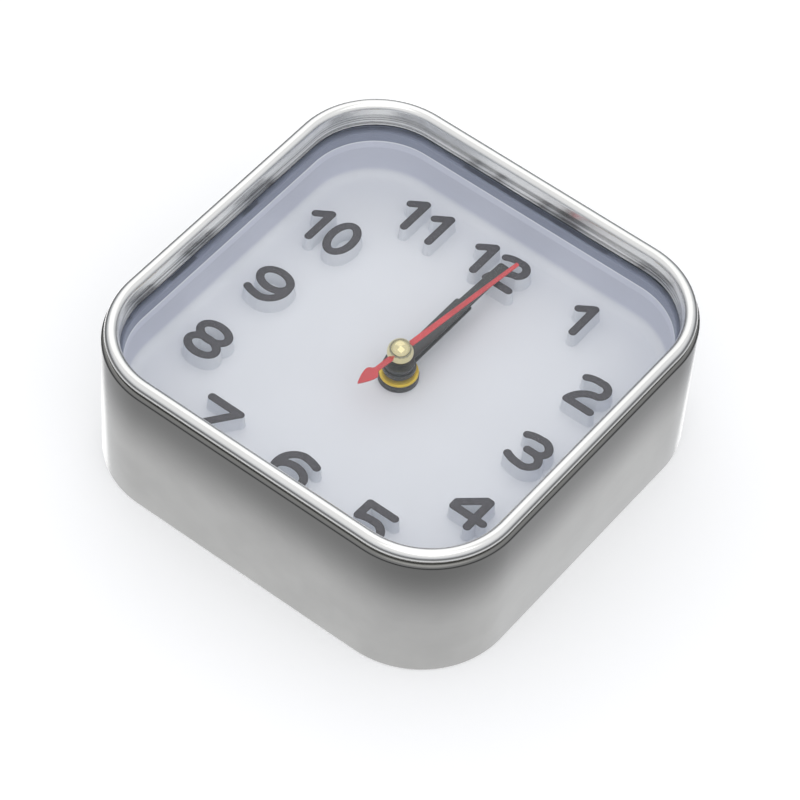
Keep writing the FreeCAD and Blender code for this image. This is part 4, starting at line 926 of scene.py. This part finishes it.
class CLOCK_OT_dial(bpy.types.Operator):
    """Deep white dial tray and its raised numerals"""
    bl_idname = "clock.dial"
    bl_label = "Dial"

    def execute(self, context):
        size, tint = sizes(), tints()
        step, under_floor = DIAL_FLANGE - DIAL_STEP, FACE - DIAL_FLOOR
        flange = DIAL_FLANGE - DIAL_SKIN
        flat, outside, hole, circle = 59.0, 66.1, 4.25, 30.0
        wall = rounded([
            (DIAL_OUTER, flange, 0.1), (DIAL_OUTER, DIAL_FLANGE, 0.2),
            (DIAL_WALL, DIAL_FLANGE, 0.25), (64.5, step, 0.15), (DIAL_FOOT, FACE, 3.5),
            (flat, FACE, 0.0)], 8)
        under = rounded([
            (flat, under_floor, 0.0), (65.4, under_floor, 0.8), (outside, step, 0.4),
            (outside, flange, 0.2), (70.0, flange, 0.0)], 4)
        rings = [level_ring(size, reach, level) for reach, level in wall]
        rings += [level_ring(size, reach, level, True) for reach, level in (
            (circle, FACE), (hole, FACE), (hole, under_floor), (circle, under_floor))]
        rings += [level_ring(size, reach, level) for reach, level in under[:-1]]
        tray = grid(np.stack(rings), True, True)
        bore, outer, root = 1.55, 4.0, FACE - 0.8
        post = rounded([(bore, POST_END, 0.0), (outer, POST_END, 0.3), (outer, root, 0.0),
                        (bore, root, 0.0)], 3)
        spots = [(x, y) for x in (-POST_REACH, POST_REACH) for y in (-POST_REACH, POST_REACH)]
        posts = [turned(post, 32, spot) for spot in spots]
        piece("dial_tray", join(tray, *posts), dial_finish(tint["dial"]), "clock_body",
              "dial_plastic", "dial", crease=40)
        dress(numeral_mesh(size), numeral_finish(tint["numeral_side"], tint["print_ink"]),
              "clock_body", "dial_plastic", "dial", crease=40)
        return {"FINISHED"}


class CLOCK_OT_centre(bpy.types.Operator):
    """Black collar and brass nut"""
    bl_idname = "clock.centre"
    bl_label = "Centre fittings"

    def execute(self, context):
        tint = tints()
        seat = FACE + COLLAR_HEIGHT
        piece("front_collar_ring", washer(4.1, 6.2, FACE, seat, 0.35, segments=96),
              moulded("black_collar", srgb(34, 36, 38), 0.42, 0.25, 0.01),
              "clock_body", "black_plastic", "front_collar")
        piece("round_nut", washer(4.0, 6.0, seat, seat + NUT_HEIGHT, 0.25, 0.2, 96),
              satin_metal("yellow_brass", tint["nut"], 0.32, metallic=0.35),
              "clock_body", "brass_metal", "shaft_nut")
        return {"FINISHED"}


class CLOCK_OT_hands(bpy.types.Operator):
    """Hour, minute and seconds hands and the ball cap"""
    bl_idname = "clock.hands"
    bl_label = "Hands"

    def execute(self, context):
        size, tint = sizes(), tints()
        paint = painted("hand_black", tint["hands"], 0.34)
        hub = washer(2.525, 5.1, HOUR_LEVEL, HOUR_LEVEL + 1.5, 0.25)
        root, end, corner, half = 3.3, 32.0, 0.8, size["hour_width"] / 2
        run = np.column_stack([np.linspace(root, end - corner, 8), np.full(8, half)])
        shape = blade(np.vstack([[[root, 0.0]], run, tip_stations(end, half, corner)]),
                      HOUR_LEVEL + 0.75, size["blade"], 0.14)
        piece("hour_baton", reading(join(hub, shape), 0.1), paint, "hour_pipe", "black_metal",
              "hour_hand")

        hub = washer(1.625, 4.6, MINUTE_LEVEL, MINUTE_LEVEL + 1.3, 0.25)
        root, end, corner = 2.9, 50.6, 0.9
        place = np.linspace(root, end - corner, 10)
        run = np.column_stack([place, 2.5 - 0.6 * place / end])
        shape = blade(np.vstack([[[root, 0.0]], run, tip_stations(end, 1.9, corner)]),
                      MINUTE_LEVEL + 0.55, size["blade"], 0.14)
        piece("minute_baton", reading(join(hub, shape), 1.5), paint, "minute_cannon",
              "black_metal", "minute_hand")

        tail = np.array([[-17.8, 0.0], [-17.7, 0.12], [-17.0, 0.55], [-15.8, 1.15], [-14.4, 1.75],
                         [-13.0, 2.15], [-12.1, 2.3], [-11.5, 2.2], [-11.0, 1.85], [-10.6, 1.35],
                         [-10.2, 1.0], [-9.8, 0.86], [-9.3, 0.85]])
        run = np.array([[-4.0, 0.95], [-2.0, 1.0], [2.0, 1.0]])
        root, end = 4.0, 50.3
        place = np.linspace(root, 49.6, 9)
        body = np.column_stack([place, 1.0 - 0.35 * (place - root) / (end - root)])
        shape = blade(np.vstack([tail, run, body, tip_stations(end, 0.65, 0.3)]),
                      SECONDS_LEVEL, size["blade"], 0.12)
        piece("seconds_spade", reading(shape, 7.0), painted("hand_red", tint["seconds"], 0.42),
              "seconds_arbor", "red_metal", "seconds_hand")

        radius = size["cap_radius"]
        turn = np.linspace(-math.pi / 2, math.pi / 2, 41)
        ball = np.column_stack([radius * np.cos(turn), SECONDS_LEVEL + radius * np.sin(turn)])
        piece("ball_cap", turned(ball, 80, closed=False),
              satin_metal("pale_gold", tint["cap"], 0.06), "seconds_arbor", "gold_metal",
              "hand_cap", crease=60)
        return {"FINISHED"}


class CLOCK_OT_back(bpy.types.Operator):
    """Finishes of the back cover, its screws, the knob and the battery"""
    bl_idname = "clock.back"
    bl_label = "Back"

    def execute(self, context):
        tint = tints()
        repaint(moulded("cover_grain", tint["cover"], 0.5, 0.6, 0.03, 0.96), "back_cover")
        repaint(satin_metal("zinc_steel", srgb(176, 176, 170), 0.32), "cover_screws")
        repaint(moulded("black_moulding", srgb(30, 31, 33), 0.45, 0.4, 0.02), "movement_housing",
                "movement_cover", "setting_knob", "control_chip")
        repaint(battery_finish("cell_sleeve"), "battery")
        repaint(satin_metal("tinned_sheet", srgb(205, 205, 200), 0.28), "contact_positive",
                "contact_negative", "quartz_can")
        return {"FINISHED"}


class CLOCK_OT_movement(bpy.types.Operator):
    """Finishes of the pieces inside the movement"""
    bl_idname = "clock.movement"
    bl_label = "Movement"

    def execute(self, context):
        repaint(moulded("natural_resin", srgb(226, 223, 208), 0.4, 0.3, 0.008),
                "bearing_plate", "coil_bobbin", "intermediate_wheel", "seconds_wheel",
                "third_wheel", "centre_wheel", "minute_work_wheel", "hour_wheel")
        repaint(satin_metal("soft_iron", srgb(150, 149, 146), 0.42), "motor_stator")
        repaint(wound_finish("copper_wire", srgb(190, 110, 62)), "coil_winding")
        repaint(board_finish("green_board"), "circuit_board")
        repaint(moulded("magnet_grey", srgb(62, 62, 66), 0.5, 0.2, 0.01), "motor_rotor")
        repaint(satin_metal("turned_brass", srgb(214, 180, 92), 0.3), "minute_tube")
        return {"FINISHED"}


class CLOCK_OT_stage(bpy.types.Operator):
    """Pale floor, pale backing sheet, soft lights and the camera"""
    bl_idname = "clock.stage"
    bl_label = "Stage and lights"

    def execute(self, context):
        reach = 4.0
        floor_z, wall_y = -0.0001, BACK * MM + 0.0002
        pale_sheet("floor", [(-reach, -reach, floor_z), (reach, -reach, floor_z),
                             (reach, reach, floor_z), (-reach, reach, floor_z)], 0.3)
        pale_sheet("backing_sheet", [(-reach, wall_y, -reach), (reach, wall_y, -reach),
                                     (reach, wall_y, reach), (-reach, wall_y, reach)], 0.3)
        soft_lamp("key_light", (-0.62, -1.18, 0.69), 1.5, 2.3)
        soft_lamp("fill_light", (0.45, -1.50, -0.35), 1.4, 3.2)
        soft_lamp("rear_light", (-0.9, 1.3, 1.1), 1.8, 8.5)
        room = Finish("pale_room", "worlds")
        ray = room.node("ShaderNodeTexCoord", {})
        height = room.node("ShaderNodeVectorMath", {"operation": "DOT_PRODUCT"}, ray,
                           (0.10, -0.97, -0.12), out=1)
        tone = room.node("ShaderNodeValToRGB", {"stops": (
            (0.0, (0.92, 0.93, 0.96)), (0.17, (0.72, 0.73, 0.77)), (0.33, (0.16, 0.165, 0.17)),
            (0.49, (0.13, 0.135, 0.145)), (0.60, (0.52, 0.54, 0.58)), (0.76, (0.80, 0.81, 0.84)),
            (1.0, (0.80, 0.81, 0.83)))}, height * 0.5 + 0.5)
        plain = room.node("ShaderNodeLightPath", {})
        glow = room.node("ShaderNodeBackground", {}, room.blend(plain, tone, (1.0, 1.0, 1.0)), 1.0)
        room.node("ShaderNodeOutputWorld", {}, glow)
        context.scene.world = room.material
        context.scene.view_settings.view_transform = "Standard"
        camera = bpy.data.cameras.new("camera")
        camera.lens, camera.sensor_width = 176.3, 36.0
        camera.clip_start, camera.clip_end = 0.01, 50.0
        eye = linked("camera", camera)
        # Its place and axes were found by fitting the case's edges in the photograph.
        across = np.array([0.8261, 0.0, 0.5635])
        upward = np.array([-0.4409, -0.6227, 0.6464])
        place = (0.41415, -0.90903, -0.53373)
        roll = math.radians(4.731)
        right = across * math.cos(roll) + upward * math.sin(roll)
        top = upward * math.cos(roll) - across * math.sin(roll)
        eye.matrix_world = upright_matrix(right, top, np.cross(right, top), place)
        context.scene.camera = eye
        return {"FINISHED"}


OPERATORS = (CLOCK_OT_case, CLOCK_OT_glass, CLOCK_OT_wall, CLOCK_OT_dial, CLOCK_OT_centre,
             CLOCK_OT_hands, CLOCK_OT_back, CLOCK_OT_movement, CLOCK_OT_stage)


class CLOCK_PT_panel(bpy.types.Panel):
    """Lists the pieces and their settings"""
    bl_label = "Table clock"
    bl_space_type = "VIEW_3D"
    bl_region_type = "UI"
    bl_category = "Clock"

    def draw(self, context):
        for operator in OPERATORS:
            self.layout.operator(operator.bl_idname)
        for group in (context.scene.clock_sizes, context.scene.clock_colours):
            column = self.layout.column(align=True)
            for key in type(group).__annotations__:
                column.prop(group, key)


CLASSES = (ClockSizes, ClockColours, *OPERATORS, CLOCK_PT_panel)


def register():
    for cls in CLASSES:
        bpy.utils.register_class(cls)
    bpy.types.Scene.clock_sizes = bpy.props.PointerProperty(type=ClockSizes)
    bpy.types.Scene.clock_colours = bpy.props.PointerProperty(type=ClockColours)


def unregister():
    del bpy.types.Scene.clock_colours
    del bpy.types.Scene.clock_sizes
    for cls in reversed(CLASSES):
        bpy.utils.unregister_class(cls)


def main():
    register()
    for operator in OPERATORS:
        group, name = operator.bl_idname.split(".")
        getattr(getattr(bpy.ops, group), name)()


if __name__ == "__main__":
    main()
